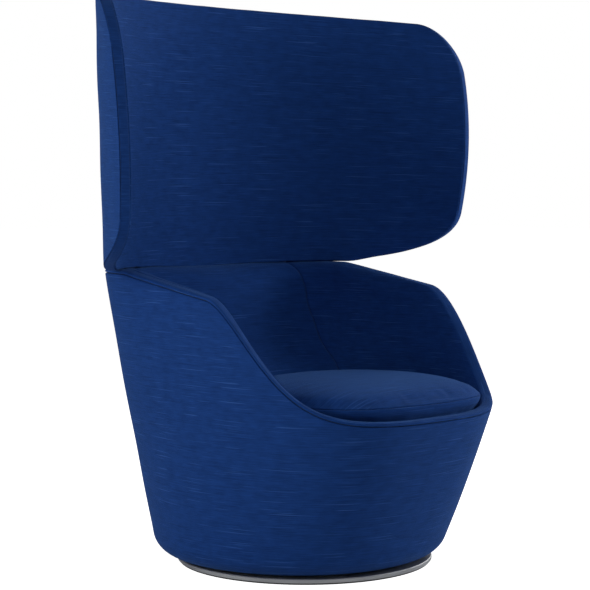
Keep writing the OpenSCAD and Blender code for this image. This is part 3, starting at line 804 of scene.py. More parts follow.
@dataclass(frozen=True)
class TubShape:
    """Sizes and surfaces of the tub, as the model has them.

    Attributes:
        arm_half_w, front_reach, back_reach: Full outline's reach to the sides, front and back.
        foot_r, foot_back: Radius of the foot, and how far behind the axis it stands.
        foot_round, foot_z: Radius and lowest height of the round bottom edge.
        flare_z: Height at which the foot has widened to the full outline.
        flare_power, back_flare_power: Powers of that flare in front and behind.
        front_square, back_square: Powers of the outline, 2 for an ellipse.
        lip_z, arm_z, arm_rise: Heights of the front lip and the arms, and the arms' slope.
        curve_front, curve_back, curve_skew: Start, end and power of the rim's sweep.
        band_w, band_rise, band_inset: Width, height and inset of the rim band.
        corner_band: How much wider the band is at the back corners.
        cover_t, inner_edge: Depths of the cover's inner side and the shell's inner side.
        wall_min, top_wall: Least wall, and how much thicker it is at the top behind.
        oval_half_w, oval_half_d, oval_forward: Half sizes and offset of the seat's outline.
        shoulder_h: Height of the rounding from the rim band to a pad's face.
        seat_z, pad_z, hood_z: Heights of the seat and of the pads' and hood's undersides.
        seam_x, seam_top_x: Half distance of the inner seams at the seat and at the top.
        seam_lean_h: Height over which those seams lean out.
    """

    arm_half_w: float = 0.376
    front_reach: float = 0.506
    back_reach: float = 0.405
    foot_r: float = 0.329
    foot_back: float = 0.026
    foot_round: float = 0.042
    foot_z: float = 0.017
    flare_z: float = 0.750
    flare_power: float = 1.51
    back_flare_power: float = 1.19
    front_square: float = 3.2
    back_square: float = 5.0
    lip_z: float = 0.362
    arm_z: float = 0.641
    arm_rise: float = 0.16
    curve_front: float = 0.667
    curve_back: float = 0.075
    curve_skew: float = 2.0
    band_w: float = 0.025
    band_rise: float = 0.007
    band_inset: float = 0.002
    corner_band: float = 0.024
    cover_t: float = 0.010
    inner_edge: float = 0.0212
    wall_min: float = 0.031
    oval_half_w: float = 0.310
    oval_half_d: float = 0.240
    oval_forward: float = 0.150
    top_wall: float = 0.072
    shoulder_h: float = 0.048
    seat_z: float = 0.420
    pad_z: float = 0.296
    hood_z: float = 0.684
    seam_x: float = 0.175
    seam_top_x: float = 0.244
    seam_lean_h: float = 0.200

    def full_r(self, th: Array) -> Array:
        """Reach of the full outline at an angle in degrees.

        Args:
            th: Angles in plan, in degrees.

        Returns:
            Reach from the axis.
        """
        t = np.radians(th)
        c = np.cos(t)
        n = np.where(c > 0, self.front_square, self.back_square)
        b = np.where(c > 0, self.front_reach, self.back_reach)
        return ((np.abs(np.sin(t)) / self.arm_half_w) ** n + (np.abs(c) / b) ** n) ** (-1 / n)

    def flare(self, z: Array, power: Array | float | None = None) -> Array:
        """Share of the full outline that the tub reaches at a height."""
        power = self.flare_power if power is None else power
        return 1 - (1 - np.minimum(z, self.flare_z) / self.flare_z) ** power

    def outer_r(self, th: Array, z: Array) -> Array:
        """Reach of the outer surface."""
        power = mix(self.flare_power, self.back_flare_power, ease((self.half(th) - 70) / 60))
        return mix(self.foot_r, self.full_r(th), self.flare(z, power))

    def point(self, th: Array, z: Array, inset: Array) -> Array:
        """Point at an angle and a height, a distance inside the outer surface.

        Args:
            th: Angles in plan, in degrees.
            z: Heights.
            inset: Distances inside the outer surface.

        Returns:
            The points.
        """
        r = self.outer_r(th, z) - inset
        t = np.radians(th)
        y = self.foot_back * (1 - self.flare(z)) - np.cos(t) * r
        return np.stack(np.broadcast_arrays(np.sin(t) * r, y, z), -1)

    def foot_inset(self, z: Array) -> Array:
        """Distance inside at which the round bottom edge lies."""
        t = clamp01((z - self.foot_z) / self.foot_round)
        return self.foot_round * (1 - np.sqrt(1 - (1 - t) ** 2))

    def half(self, th: Array) -> Array:
        """Angle from the front, without its side."""
        a = np.mod(th, 360)
        return np.where(a > 180, 360 - a, a)

    def rim_z(self, th: Array) -> Array:
        """Height of the cover's top edge.

        Args:
            th: Angles in plan, in degrees.

        Returns:
            Heights of the edge.
        """
        y = -np.cos(np.radians(th)) * self.full_r(th)
        t = clamp01((y + self.curve_front) / (self.curve_front - self.curve_back)) ** self.curve_skew
        cap = self.hood_z - self.band_rise - 0.0003
        return np.minimum(cap, mix(self.lip_z, self.arm_z + self.arm_rise * y, ease(t)))

    def band_end(self, th: Array) -> Array:
        """Distance of the rim band's inner edge from the outer surface."""
        t = (self.half(th) - 140) / 25
        return self.band_inset + self.band_w + self.corner_band * (ease(t + 1) - ease(t))

    def oval_r(self, a: Array) -> Array:
        """Reach of the seat's oval outline from the swivel axis.

        Args:
            a: Angles in plan, in degrees.

        Returns:
            Reach from the axis.
        """
        t = np.radians(a)
        s, c = np.sin(t) / self.oval_half_w, np.cos(t) / self.oval_half_d
        e = self.oval_forward / self.oval_half_d
        m = s * s + c * c
        return (e * c + np.sqrt(e * e * c * c - m * (e * e - 1))) / m

    def wall_t(self, th: Array, z: Array) -> Array:
        """Thickness of the whole wall.

        Args:
            th: Angles in plan, in degrees.
            z: Heights.

        Returns:
            Distances from the outer surface to the pads' face.
        """
        a = self.half(th)
        room = self.outer_r(a, self.seat_z) - self.oval_r(a) - self.wall_min
        seat = self.wall_min + np.maximum(0, room) * ease((a - 45) / 35)
        top = self.wall_min + self.top_wall * ease((a - 60) / 90)
        t = clamp01((z - self.seat_z) / (self.hood_z - self.seat_z))
        return mix(top, seat, (1 - t) ** 2.2)


@dataclass
class Tub:
    """The upholstered tub: outer cover, rim band and inner pads.

    Attributes:
        shape: Sizes of the tub.
        columns: Columns round the cover and the band.
        cover_rows: Rows up the cover.
        pad_rows: Rows up each side of a pad.
        pad_turn: Rows over a pad's shoulder.
        seam_bow: How far the inner seams bow out above the cushion.
        slit: Gap between two covers that meet.
        thread_r: Radius at which the threads round the tub have their true size.
        top_roll: Height of the cover's turned top edge.
        cover_swell, cover_seam: Height of the cover's swell, and depth of its seam behind.
        band_base: Height of the band's sides over the cover's edge.
        pad_swell: Height of a pad's swell.
        seam_line: Depth and width of the line along a sewn seam.
        pucker: Depth and reach of the puckers beside it.
        pucker_pitch: Distance between two puckers along a seam.
    """

    shape: TubShape = field(default_factory=TubShape)
    columns: int = 300
    cover_rows: int = 46
    pad_rows: int = 26
    pad_turn: int = 16
    seam_bow: float = 0.006
    slit: float = 0.0008
    thread_r: float = 0.38
    top_roll: float = 0.004
    cover_swell: float = 0.0006
    cover_seam: float = 0.0028
    band_base: float = 0.0022
    pad_swell: float = 0.0009
    seam_line: tuple[float, float] = (0.0032, 0.0022)
    pucker: tuple[float, float] = (0.0009, 0.011)
    pucker_pitch: float = 0.013

    def cover(self) -> Object:
        """Builds the outer cover, with a round foot, a turned top edge and a centre seam behind.

        Returns:
            The cover.
        """
        k = self.shape
        th = np.linspace(0, 360, self.columns, endpoint=False)
        top = k.rim_z(th) - k.band_inset - self.slit
        foot = k.foot_z + k.foot_round * (1 - np.cos(np.radians(np.linspace(0, 90, 13))))
        rows: list[Array] = [np.full_like(th, z) for z in foot]
        low, high = k.foot_z + k.foot_round, top - self.top_roll
        rows += [mix(low, high, t) for t in np.linspace(0, 1, self.cover_rows)[1:]]
        outer = np.stack(rows, 1)
        calm = ease((outer - 0.05) / 0.06) * ease((top[:, None] - outer) / 0.05)
        swell = self.cover_swell * ripple(np.radians(th)[:, None] * 0.37, outer, 5, 0.19) * calm
        seam = self.cover_seam * np.exp(-((th[:, None] - 180) / 0.55) ** 2) * ease((outer - 0.03) / 0.03)
        inset = k.foot_inset(outer) + seam - swell
        shell = k.point(th[:, None], outer, inset)
        turn = np.radians(np.linspace(20, 90, 5))
        lift = self.top_roll * (np.sin(turn) - 1)
        roll = k.point(th[:, None], top[:, None] + lift, 0.005 * (1 - np.cos(turn)))
        folds = ((0.0, 0.1), (0.25, 0.08), (0.5, 0.08), (0.75, 0.07), (1.0, 0.065))
        inner_z = [mix(high, np.full_like(th, z), t) for t, z in folds]
        inner_z = np.stack(inner_z + [np.full_like(th, z) for z in (0.05, 0.036, 0.026, k.foot_z)], 1)
        inner = k.point(th[:, None], inner_z, k.cover_t + k.foot_inset(inner_z))
        rings = np.concatenate([shell, roll, inner], axis=1)
        uvs = ring_uvs(rings, True, np.radians(np.linspace(0, 360, self.columns + 1)) * self.thread_r)
        n = outer.shape[1]
        uvs[:-1, :n, 1] = outer
        uvs[-1, :n, 1] = outer[0]
        return loft_rings("outer_cover_cloth", rings, uvs, True)

    def band(self) -> Object:
        """Builds the rolled band along the rim.

        Returns:
            The band.
        """
        k = self.shape
        th = np.linspace(0, 360, self.columns, endpoint=False)
        base = k.rim_z(th) - k.band_inset + self.band_base
        w = k.band_end(th) - 0.0007
        a = np.radians(np.concatenate([[-52, -34, -18, -8], np.linspace(0, 180, 25)]))
        power = np.where(a > np.pi / 2, 0.2, 0.8)
        rise = k.band_rise + k.band_inset - self.band_base
        up = np.abs(np.sin(a)) ** power * np.where(a < 0, -0.0026, rise)
        across = (1 - np.sign(np.cos(a)) * np.abs(np.cos(a)) ** 0.85) / 2
        puff = 0.0004 * ripple(np.radians(th)[:, None] * 0.4, a[None, :] * 0.01, 8, 0.11)
        height = base[:, None] + up[None, :] + puff * np.maximum(0, np.sin(a))
        top = k.point(th[:, None], height, 0.0006 + w[:, None] * across[None, :])
        below = k.band_inset + (w - k.band_inset)[:, None] * np.array([0.92, 0.7, 0.5, 0.32])[None, :]
        under = k.point(th[:, None], (base - 0.0024)[:, None], below)
        rings = np.concatenate([top, under], axis=1)
        return loft_rings("rim_band_cloth", rings, ring_uvs(rings, True), True)

    @property
    def pad_edge(self) -> int:
        """Number of the section point at the pad's top edge; as many points follow as lie before."""
        return self.pad_rows + self.pad_turn + 2

    def pad_section(self, th: Array) -> Array:
        """Points of a pad's section at angles.

        Args:
            th: Angles, one for each column, or columns by points.

        Returns:
            Columns by points by 3: up the shell side, over the shoulder, down the face.
        """
        k = self.shape
        rows, turn, edge = self.pad_rows, self.pad_turn, self.pad_edge
        th = np.broadcast_to(th if th.ndim == 2 else th[:, None], (th.shape[0], 2 * edge))
        z1 = k.rim_z(th) - k.band_inset - self.slit
        z2 = k.rim_z(th) + k.band_rise - 0.0002
        lip = k.band_end(th) + 0.0001
        drop = np.minimum(k.shoulder_h, (z2 - k.pad_z) / 2)
        z3 = z2 - drop
        w3 = np.maximum(k.wall_t(th, z3), lip + 0.0004)
        i = np.arange(2 * edge)[None, :]
        bend = (i > edge) & (i <= edge + 1 + turn)
        a = np.radians(90 * (np.clip(i - edge - 1, 0, turn) / turn) ** 1.9)
        fall = clamp01((i - edge - 1 - turn) / rows)
        rise = mix(mix(k.pad_z, z3, clamp01(i / rows)), z1, clamp01((i - rows) / (turn + 1)))
        z = np.where(i < edge, rise, np.where(i == edge, z1, np.where(
            bend, z2 - drop * (1 - np.cos(a)), mix(z3, k.pad_z + 0 * z3, fall))))
        inset = np.where(i < edge, k.inner_edge + self.slit + 0 * z, np.where(i == edge, lip, np.where(
            bend, mix(lip, w3, np.sin(a)), np.maximum(k.wall_t(th, z), lip))))
        p = k.point(th, z, inset)
        behind = ease((k.half(th) - 120) / 20) * ease((z - z3) / 0.03)
        p[..., 2] -= np.where(i <= edge, 0, Hood.dip(p[..., 0]) * behind)
        return p

    def seam_angles(self, shift: float) -> Array:
        """Angle at which each point of the section lies in the plane of the seam.

        Args:
            shift: Distance of the plane outside the seam.

        Returns:
            One row of angles in degrees, point by point.
        """
        k = self.shape
        count = self.pad_section(np.array([90.0])).shape[1]
        low, high = np.full((1, count), 80.0), np.full((1, count), 165.0)
        for _ in range(22):
            mid = (low + high) / 2
            p = self.pad_section(mid)
            z = p[..., 2]
            plane = shift + mix(k.seam_x, k.seam_top_x, clamp01((z - k.seat_z) / k.seam_lean_h))
            plane += self.seam_bow * (ease((z - 0.50) / 0.06) - 1.2 * np.exp(-((z - 0.48) / 0.03) ** 2))
            outside = p[..., 0] > plane
            low, high = np.where(outside, mid, low), np.where(outside, high, mid)
        return (low + high) / 2

    def pad(self, name: str, start: Array, end: Array, steps: int, seams: tuple[bool, bool],
            seed: int) -> Object:
        """Builds one inner pad between two seams, drawn in along the seams.

        Args:
            name: Object name.
            start: Angle of each section point at the first end.
            end: Angle of each section point at the last end.
            steps: Columns.
            seams: Whether each end is a sewn seam.
            seed: Seed of the cloth's swell.

        Returns:
            The pad.
        """
        th = mix(start, end, ends_dense(steps, 0.85)[:, None])
        p = self.pad_section(th)
        along, height = chain_lengths(p, 0), chain_lengths(p, 1)
        total = along[-1:]
        number = np.arange(p.shape[1])
        visible = (number > self.pad_edge)[None, :]
        draw = np.zeros(p.shape[:2])
        line, line_w = self.seam_line
        depth, reach = self.pucker
        for sewn, away in ((seams[0], along), (seams[1], total - along)):
            if sewn:
                drift = 2 * ripple(height, height * 0, seed, 0.05)
                pucker = depth * (1 + 0.35 * np.sin(height * 2 * np.pi / self.pucker_pitch + drift))
                draw = draw + line * np.exp(-away / line_w) + pucker * np.exp(-away / reach)
        calm = ease(height / 0.1) * (1 - np.exp(-np.minimum(along, total - along) / 0.03))
        swell = self.pad_swell * ripple(along, height, seed, 0.16) * calm
        normal = unit(np.cross(np.gradient(p, axis=0), np.gradient(p, axis=1)))
        down = number - self.pad_edge - 1
        lift = swell * ease(down / 5.0) - draw * clamp01(ease(down / 10.0) + 0.12)
        p = p + normal * (lift * visible)[..., None]
        uvs = ring_uvs(p, False)
        n = p.shape[1]
        bend = self.pad_edge + 1 + self.pad_turn
        over = p[:, bend, 2:] + height[:, bend:bend + 1] - height
        level = np.where(number > bend, p[..., 2], over)
        uvs[..., :n, 1] = np.where(visible, level, height)
        uvs[..., 0] += seed * 0.37
        return loft_rings(name, p, uvs, False)

    def seam_lines(self) -> Paths:
        """Paths of the two inner seams and the centre back seam, and the way that each one faces.

        Returns:
            Points and outward directions of each path.
        """
        th = self.seam_angles(0.0)
        first = self.pad_edge + 4
        line = self.pad_section(th)[0, first:]
        across = (self.pad_section(th + 0.3) - self.pad_section(th - 0.3))[0, first:]
        way = unit(np.cross(np.gradient(line, axis=0), across))
        way *= np.sign(way @ np.array([-1.0, -1.0, 1.0]))[:, None]
        near = line - way * 0.0030
        flip = np.array([-1, 1, 1])
        z = np.linspace(0.05, float(self.shape.rim_z(np.array(180.0))) - 0.012, 60)
        behind = self.shape.point(np.full_like(z, 180.0), z, np.full_like(z, 0.0023))
        lean = np.gradient(behind, axis=0)
        facing = unit(np.stack([0 * z, lean[:, 2], -lean[:, 1]], -1))
        return [(near, way), (near * flip, way * flip), (behind, facing)]

    def staple_line(self) -> tuple[Array, Array]:
        """Path of the staples round the dust cover's underside.

        Returns:
            Points and outward directions of the path.
        """
        cover = read_points(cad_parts["dust_cover"])
        middle = (cover.min(0) + cover.max(0)) / 2
        radius = (cover[:, 0].max() - cover[:, 0].min()) / 2 - 0.009
        a = np.radians(np.linspace(0, 358, 120))
        x, y = middle[0] + radius * np.sin(a), middle[1] + radius * np.cos(a)
        ring = np.stack([x, y, np.full_like(a, cover[:, 2].min() - 0.0002)], -1)
        return ring, np.broadcast_to([0.0, 0.0, -1.0], ring.shape)

    def build(self, finishes: Finishes) -> None:
        """Builds and dresses every piece of the tub.

        Args:
            finishes: Every finish.
        """
        finish_piece(self.cover(), finishes.cloth, "woven_fabric", "tub", 0.95, "outer_cover")
        finish_piece(self.band(), finishes.cloth, "woven_fabric", "tub", 0.9, "rim_band")
        back, side = self.seam_angles(-0.0001), self.seam_angles(0.0001)
        front = np.full_like(back, 30.0)
        for node, start, end, steps, seams, seed in (
            ("back_pad", back, 360 - back, 110, (True, True), 3),
            ("left_side_pad", 360 - side, 360 - front, 110, (True, False), 4),
            ("right_side_pad", front, side, 110, (False, True), 6),
            ("front_pad", 0.02 - front, front - 0.02, 40, (False, False), 7),
        ):
            piece = self.pad(f"{node}_cloth", start, end, steps, seams, seed)
            finish_piece(piece, finishes.cloth, "woven_fabric", "tub", 0.9, node)
        stitch_row("tub_stitches", 7).lay(self.seam_lines(), finishes.seam, "woven_fabric", "tub")
        staples = Row("foot_staples", RowShape.STAPLE, 0.030, (0.010, 0.0010, 0.0008), seed=9)
        staples.lay([self.staple_line()], finishes.swivel, "swivel_steel", "tub")


# Hood


class Face(Enum):
    """A face of the hood."""

    INNER = 0
    OUTER = 1


@dataclass
class Hood:
    """The wrapped acoustic hood: padded faces and an edge band round a stiff core.

    Attributes:
        radius, half_len: Radius of the inner face, and half its length round the sitter.
        thickness: Thickness of the whole hood.
        bottom, top, fall: Heights of its underside and top, and the top's fall to the front.
        bow: How far a front edge's ends lie behind its middle.
        corner_len, corner_h: Length and height of the round upper corners.
        sweep_h, sweep_power: Height and power of the swept lower edge.
        wing_lean: How much the wings lean out towards their top.
        seat_share: Share of the length that rests on the tub.
        bar_x, bar_t, clamp_w: Place and thickness of the bars, and width of their clamps.
        rim: Distance from the outline at which a face ends.
        fold_in: How far a face's edge folds in under the band.
        bends: Radius at the edge of the inner and of the outer face.
        swell: Height of a face's swell.
        seam_depths: Places of the band's two seams across the hood's thickness.
    """

    radius: float = 0.544
    half_len: float = 0.716
    thickness: float = 0.028
    bottom: float = 0.684
    top: float = 1.325
    fall: float = 0.042
    bow: float = 0.044
    corner_len: float = 0.100
    corner_h: float = 0.128
    sweep_h: float = 0.136
    wing_lean: float = 0.027
    seat_share: float = 0.335
    sweep_power: float = 2.66
    bar_x: float = 0.120
    clamp_w: float = 0.036
    bar_t: float = 0.005
    rim: float = 0.0003
    fold_in: float = 0.0024
    bends: tuple[float, float] = (0.0042, 0.0024)
    swell: float = 0.0010
    seam_depths: tuple[float, float] = (0.0047, 0.0253)

    @property
    def front_top(self) -> float:
        """Height of the top edge in front."""
        return self.top - self.fall

    @property
    def centre(self) -> float:
        """Distance of the hood's centre in front of the axis, from the bars that carry it.

        Returns:
            The distance.
        """
        tub = TubShape()
        side = math.atan((self.bar_x + self.clamp_w / 2) / (tub.back_reach - 0.0208))
        angle = 180 - math.degrees(side)
        wall = tub.point(np.array(angle), np.array(self.bottom - 0.0073), tub.inner_edge)
        bar_y = float(wall[1]) - self.bar_t / 2
        return math.sqrt((self.radius + self.thickness / 2) ** 2 - self.bar_x ** 2) - bar_y

    def upper(self, s: Array) -> Array:
        """Height of the flat outline's top at a length from the middle."""
        q = clamp01((np.abs(s) - self.half_len + self.corner_len) / self.corner_len)
        return self.front_top - self.corner_h * (1 - np.sqrt(1 - q * q))

    def lower(self, s: Array) -> Array:
        """Height of the flat outline's bottom at a length from the middle.

        Args:
            s: Lengths from the middle.

        Returns:
            Heights.
        """
        seat = self.half_len * self.seat_share
        q = clamp01((np.abs(s) - seat) / (self.half_len - seat))
        swept = 1 - (1 - q ** self.sweep_power) ** (1 / self.sweep_power)
        return self.settle(s, self.bottom + self.sweep_h * swept)

    def settle(self, s: Array, z: Array) -> Array:
        """Lets the bottom edge down on the tub's rim where it stands just over it."""
        return z - np.minimum(z - self.bottom, 0.0048 * (1 - ease((np.abs(s) - 0.44) / 0.08)))

    def point(self, s: Array, z: Array, out: Array) -> Array:
        """Point at a flat length and height, a distance outside the inner face.

        Args:
            s: Lengths from the middle.
            z: Flat heights.
            out: Distances outside the inner face.

        Returns:
            The points.
        """
        mid, half = (self.bottom + self.front_top) / 2, (self.front_top - self.bottom) / 2
        q, v = s / self.half_len, (z - mid) / half
        s2 = s - np.sign(s) * self.bow * q * q * v * v
        z2 = z + self.fall * (1 - q * q) * clamp01((v + 1) / 2)
        f = s2 / self.radius
        r = self.radius + self.wing_lean * f * f * (z2 - self.bottom) + out
        return np.stack(np.broadcast_arrays(r * np.sin(f), r * np.cos(f) - self.centre, z2), -1)

    def outline(self, steps: int = 40) -> Array:
        """Flat outline from one bottom corner of the seat up, over and down, as [length, height].

        Args:
            steps: Steps round an upper corner.

        Returns:
            The outline's points, N by 2.
        """
        seat = self.half_len * self.seat_share
        top = [(s, self.front_top) for s in np.linspace(0, self.half_len - self.corner_len, 30)[:-1]]
        a = np.radians(np.linspace(0, 90, steps))
        corner = list(zip(self.half_len - self.corner_len * (1 - np.sin(a)),
                          self.front_top - self.corner_h * (1 - np.cos(a))))
        heights = np.linspace(self.front_top - self.corner_h, self.bottom + self.sweep_h, 22)
        side = [(self.half_len, z) for z in heights[1:]]
        b = np.linspace(0, math.acos(0.05 ** (self.sweep_power / 2)), steps + 10)[1:]
        e = 2 / self.sweep_power
        far = seat + (self.half_len - seat) * np.cos(b) ** e
        sweep = list(zip(far, self.settle(far, self.bottom + self.sweep_h * (1 - np.sin(b) ** e))))
        half = np.array(top + corner + side + sweep)
        return np.concatenate([half[:0:-1] * [-1, 1], half])

    def edge_distance(self, s: Array, z: Array) -> Array:
        """Distance of flat points from the outline.

        Args:
            s: Lengths from the middle.
            z: Flat heights.

        Returns:
            Distances.
        """
        path = self.outline()
        seat = self.half_len * self.seat_share
        path = np.concatenate([path, [[seat, self.bottom], [-seat, self.bottom]], path[:1]])
        a, b = path[:-1], path[1:]
        p = np.stack([s, z], -1).reshape(-1, 1, 2)
        t = clamp01(np.sum((p - a) * (b - a), -1) / np.maximum(np.sum((b - a) ** 2, -1), 1e-12))
        return np.linalg.norm(p - (a + t[..., None] * (b - a)), axis=-1).min(1).reshape(s.shape)

    @staticmethod
    def outward(path: Array) -> Array:
        """Directions out of the flat outline."""
        step = unit(np.gradient(path, axis=0))
        return np.stack([-step[:, 1], step[:, 0]], 1)

    @staticmethod
    def dip(x: Array) -> Array:
        """Depth by which the inner face sinks into the tub's pads, behind the sitter."""
        return 0.004 * (1 - ease((np.abs(x) - 0.05) / 0.15))

    def face(self, which: Face, columns: int = 190, rows: int = 64) -> Object:
        """Builds one padded face, rounded off towards the edge band.

        Args:
            which: The face.
            columns: Columns along the hood.
            rows: Rows up the hood.

        Returns:
            The padded face.
        """
        edge = self.rim
        bend = self.bends[which.value]
        even = np.linspace(-1, 1, columns + 1)
        u = mix(even, np.sin(np.pi / 2 * even), 0.92)
        s = (u * (self.half_len - edge))[:, None]
        a = np.abs(s) * self.half_len / (self.half_len - edge)
        seat = self.half_len * self.seat_share
        sunk = self.dip(s) if which is Face.INNER else 0
        z0 = self.lower(a) + edge * ease((a - seat) / 0.03) - sunk
        z = mix(z0, self.upper(a) - edge, ends_dense(rows, 0.9)[None, :])
        s = np.broadcast_to(s, z.shape)
        away = self.edge_distance(s, z)
        on_tub = (1 - ease((np.abs(s) - seat) / 0.03)) * (1 - ease((z - self.bottom) / 0.03))
        tuck = (bend - np.sqrt(np.maximum(0, bend ** 2 - np.maximum(0, bend - away) ** 2))) * (1 - on_tub)
        swell = self.swell * ripple(s, z, 21 + which.value, 0.24) * ease((away - 0.02) / 0.08)
        third = (self.thickness - 0.0008) / 3
        if which is Face.INNER:
            shown, hidden = tuck - swell, third - 0.0002
        else:
            shown, hidden = self.thickness - tuck + swell, 2 * third + 0.0010
        s, z, shown = s.copy(), z.copy(), shown + 0 * s
        turned = bend + 0.0006 if which is Face.INNER else self.thickness - bend - 0.0006
        s[0], s[-1] = s[0] + self.fold_in, s[-1] - self.fold_in
        z[:, -1] -= self.fold_in
        z[:, 0] += self.fold_in * (1 - on_tub[:, 0])
        shown[0], shown[-1], shown[:, -1] = turned, turned, turned
        shown[:, 0] = mix(turned, shown[:, 0], on_tub[:, 0])
        n = z.shape[1]
        flat = z.copy()
        columns_hidden = np.r_[0, 3:n - 3:6, n - 1]
        hidden = self.point(s[:, columns_hidden], z[:, columns_hidden], hidden)
        shown = self.point(s, z, shown)
        rings = np.concatenate([shown, hidden[:, ::-1]], axis=1)
        uvs = ring_uvs(rings, False)
        uvs[:, :n, 1] = flat
        uvs[..., 0] = s[:, :1] + 3.1 * which.value
        return loft_rings(f"hood_{which.name.lower()}_cloth", rings, uvs, False)

    def edge(self) -> Object:
        """Builds the edge band that wraps the hood's edge from face to face.

        Returns:
            The band.
        """
        path = self.outline()
        inner = [(-0.0030, 0.0056), (-0.0016, 0.0047), (-0.0008, 0.0047), (-0.0003, 0.0052)]
        inner += [(0.0, 0.0062), (0.0002, 0.0080)]
        flat = [(0.0003, 0.0110), (0.0003, 0.0160), (0.0002, 0.0205)]
        outer = [(0.0, 0.0236), (-0.0003, 0.0247), (-0.0009, 0.0253), (-0.0018, 0.0252)]
        outer += [(-0.0030, 0.0244)]
        profile = np.array(inner + flat + outer)
        back = np.array([(-0.0034, o) for o in np.linspace(0.0238, 0.0062, len(profile))])
        ring = np.concatenate([profile, back])
        along = chain_lengths(path[:, None, :], 0)[:, 0]
        fold = 0.0003 * ripple(along, along * 0, 31, 0.09)
        w = ring[None, :, 0] + fold[:, None] * (ring[None, :, 0] > -0.002)
        spots = path[:, None, :] + self.outward(path)[:, None, :] * w[..., None]
        depth = np.broadcast_to(np.clip(ring[None, :, 1], 0, self.thickness), w.shape)
        rings = self.point(spots[..., 0], spots[..., 1], depth)
        uvs = ring_uvs(rings, False)
        return loft_rings("hood_edge_cloth", rings, np.stack([uvs[..., 1], uvs[..., 0]], -1), False)

    def seam_lines(self) -> Paths:
        """Paths of the two seams of the edge band, and the way that each one faces.

        Returns:
            Points and outward directions of each path.
        """
        path = self.outline()
        out = self.outward(path)
        lines: Paths = []
        for depth in self.seam_depths:
            low, high = (self.point(*(path + out * w).T, np.array(depth)) for w in (-0.0008, 0.0002))
            lines.append((low, unit(high - low)))
        return lines

    def build(self, finishes: Finishes) -> None:
        """Builds and dresses every piece of the hood.

        Args:
            finishes: Every finish.
        """
        for which, node in ((Face.INNER, "hood_inner_pad"), (Face.OUTER, "hood_outer_pad")):
            finish_piece(self.face(which), finishes.cloth, "woven_fabric", "tub", 0.9, node)
        finish_piece(self.edge(), finishes.cloth, "woven_fabric", "tub", 0.9, "hood_edge_band")
        stitch_row("hood_stitches", 8).lay(self.seam_lines(), finishes.seam, "woven_fabric", "tub")


# Cushion


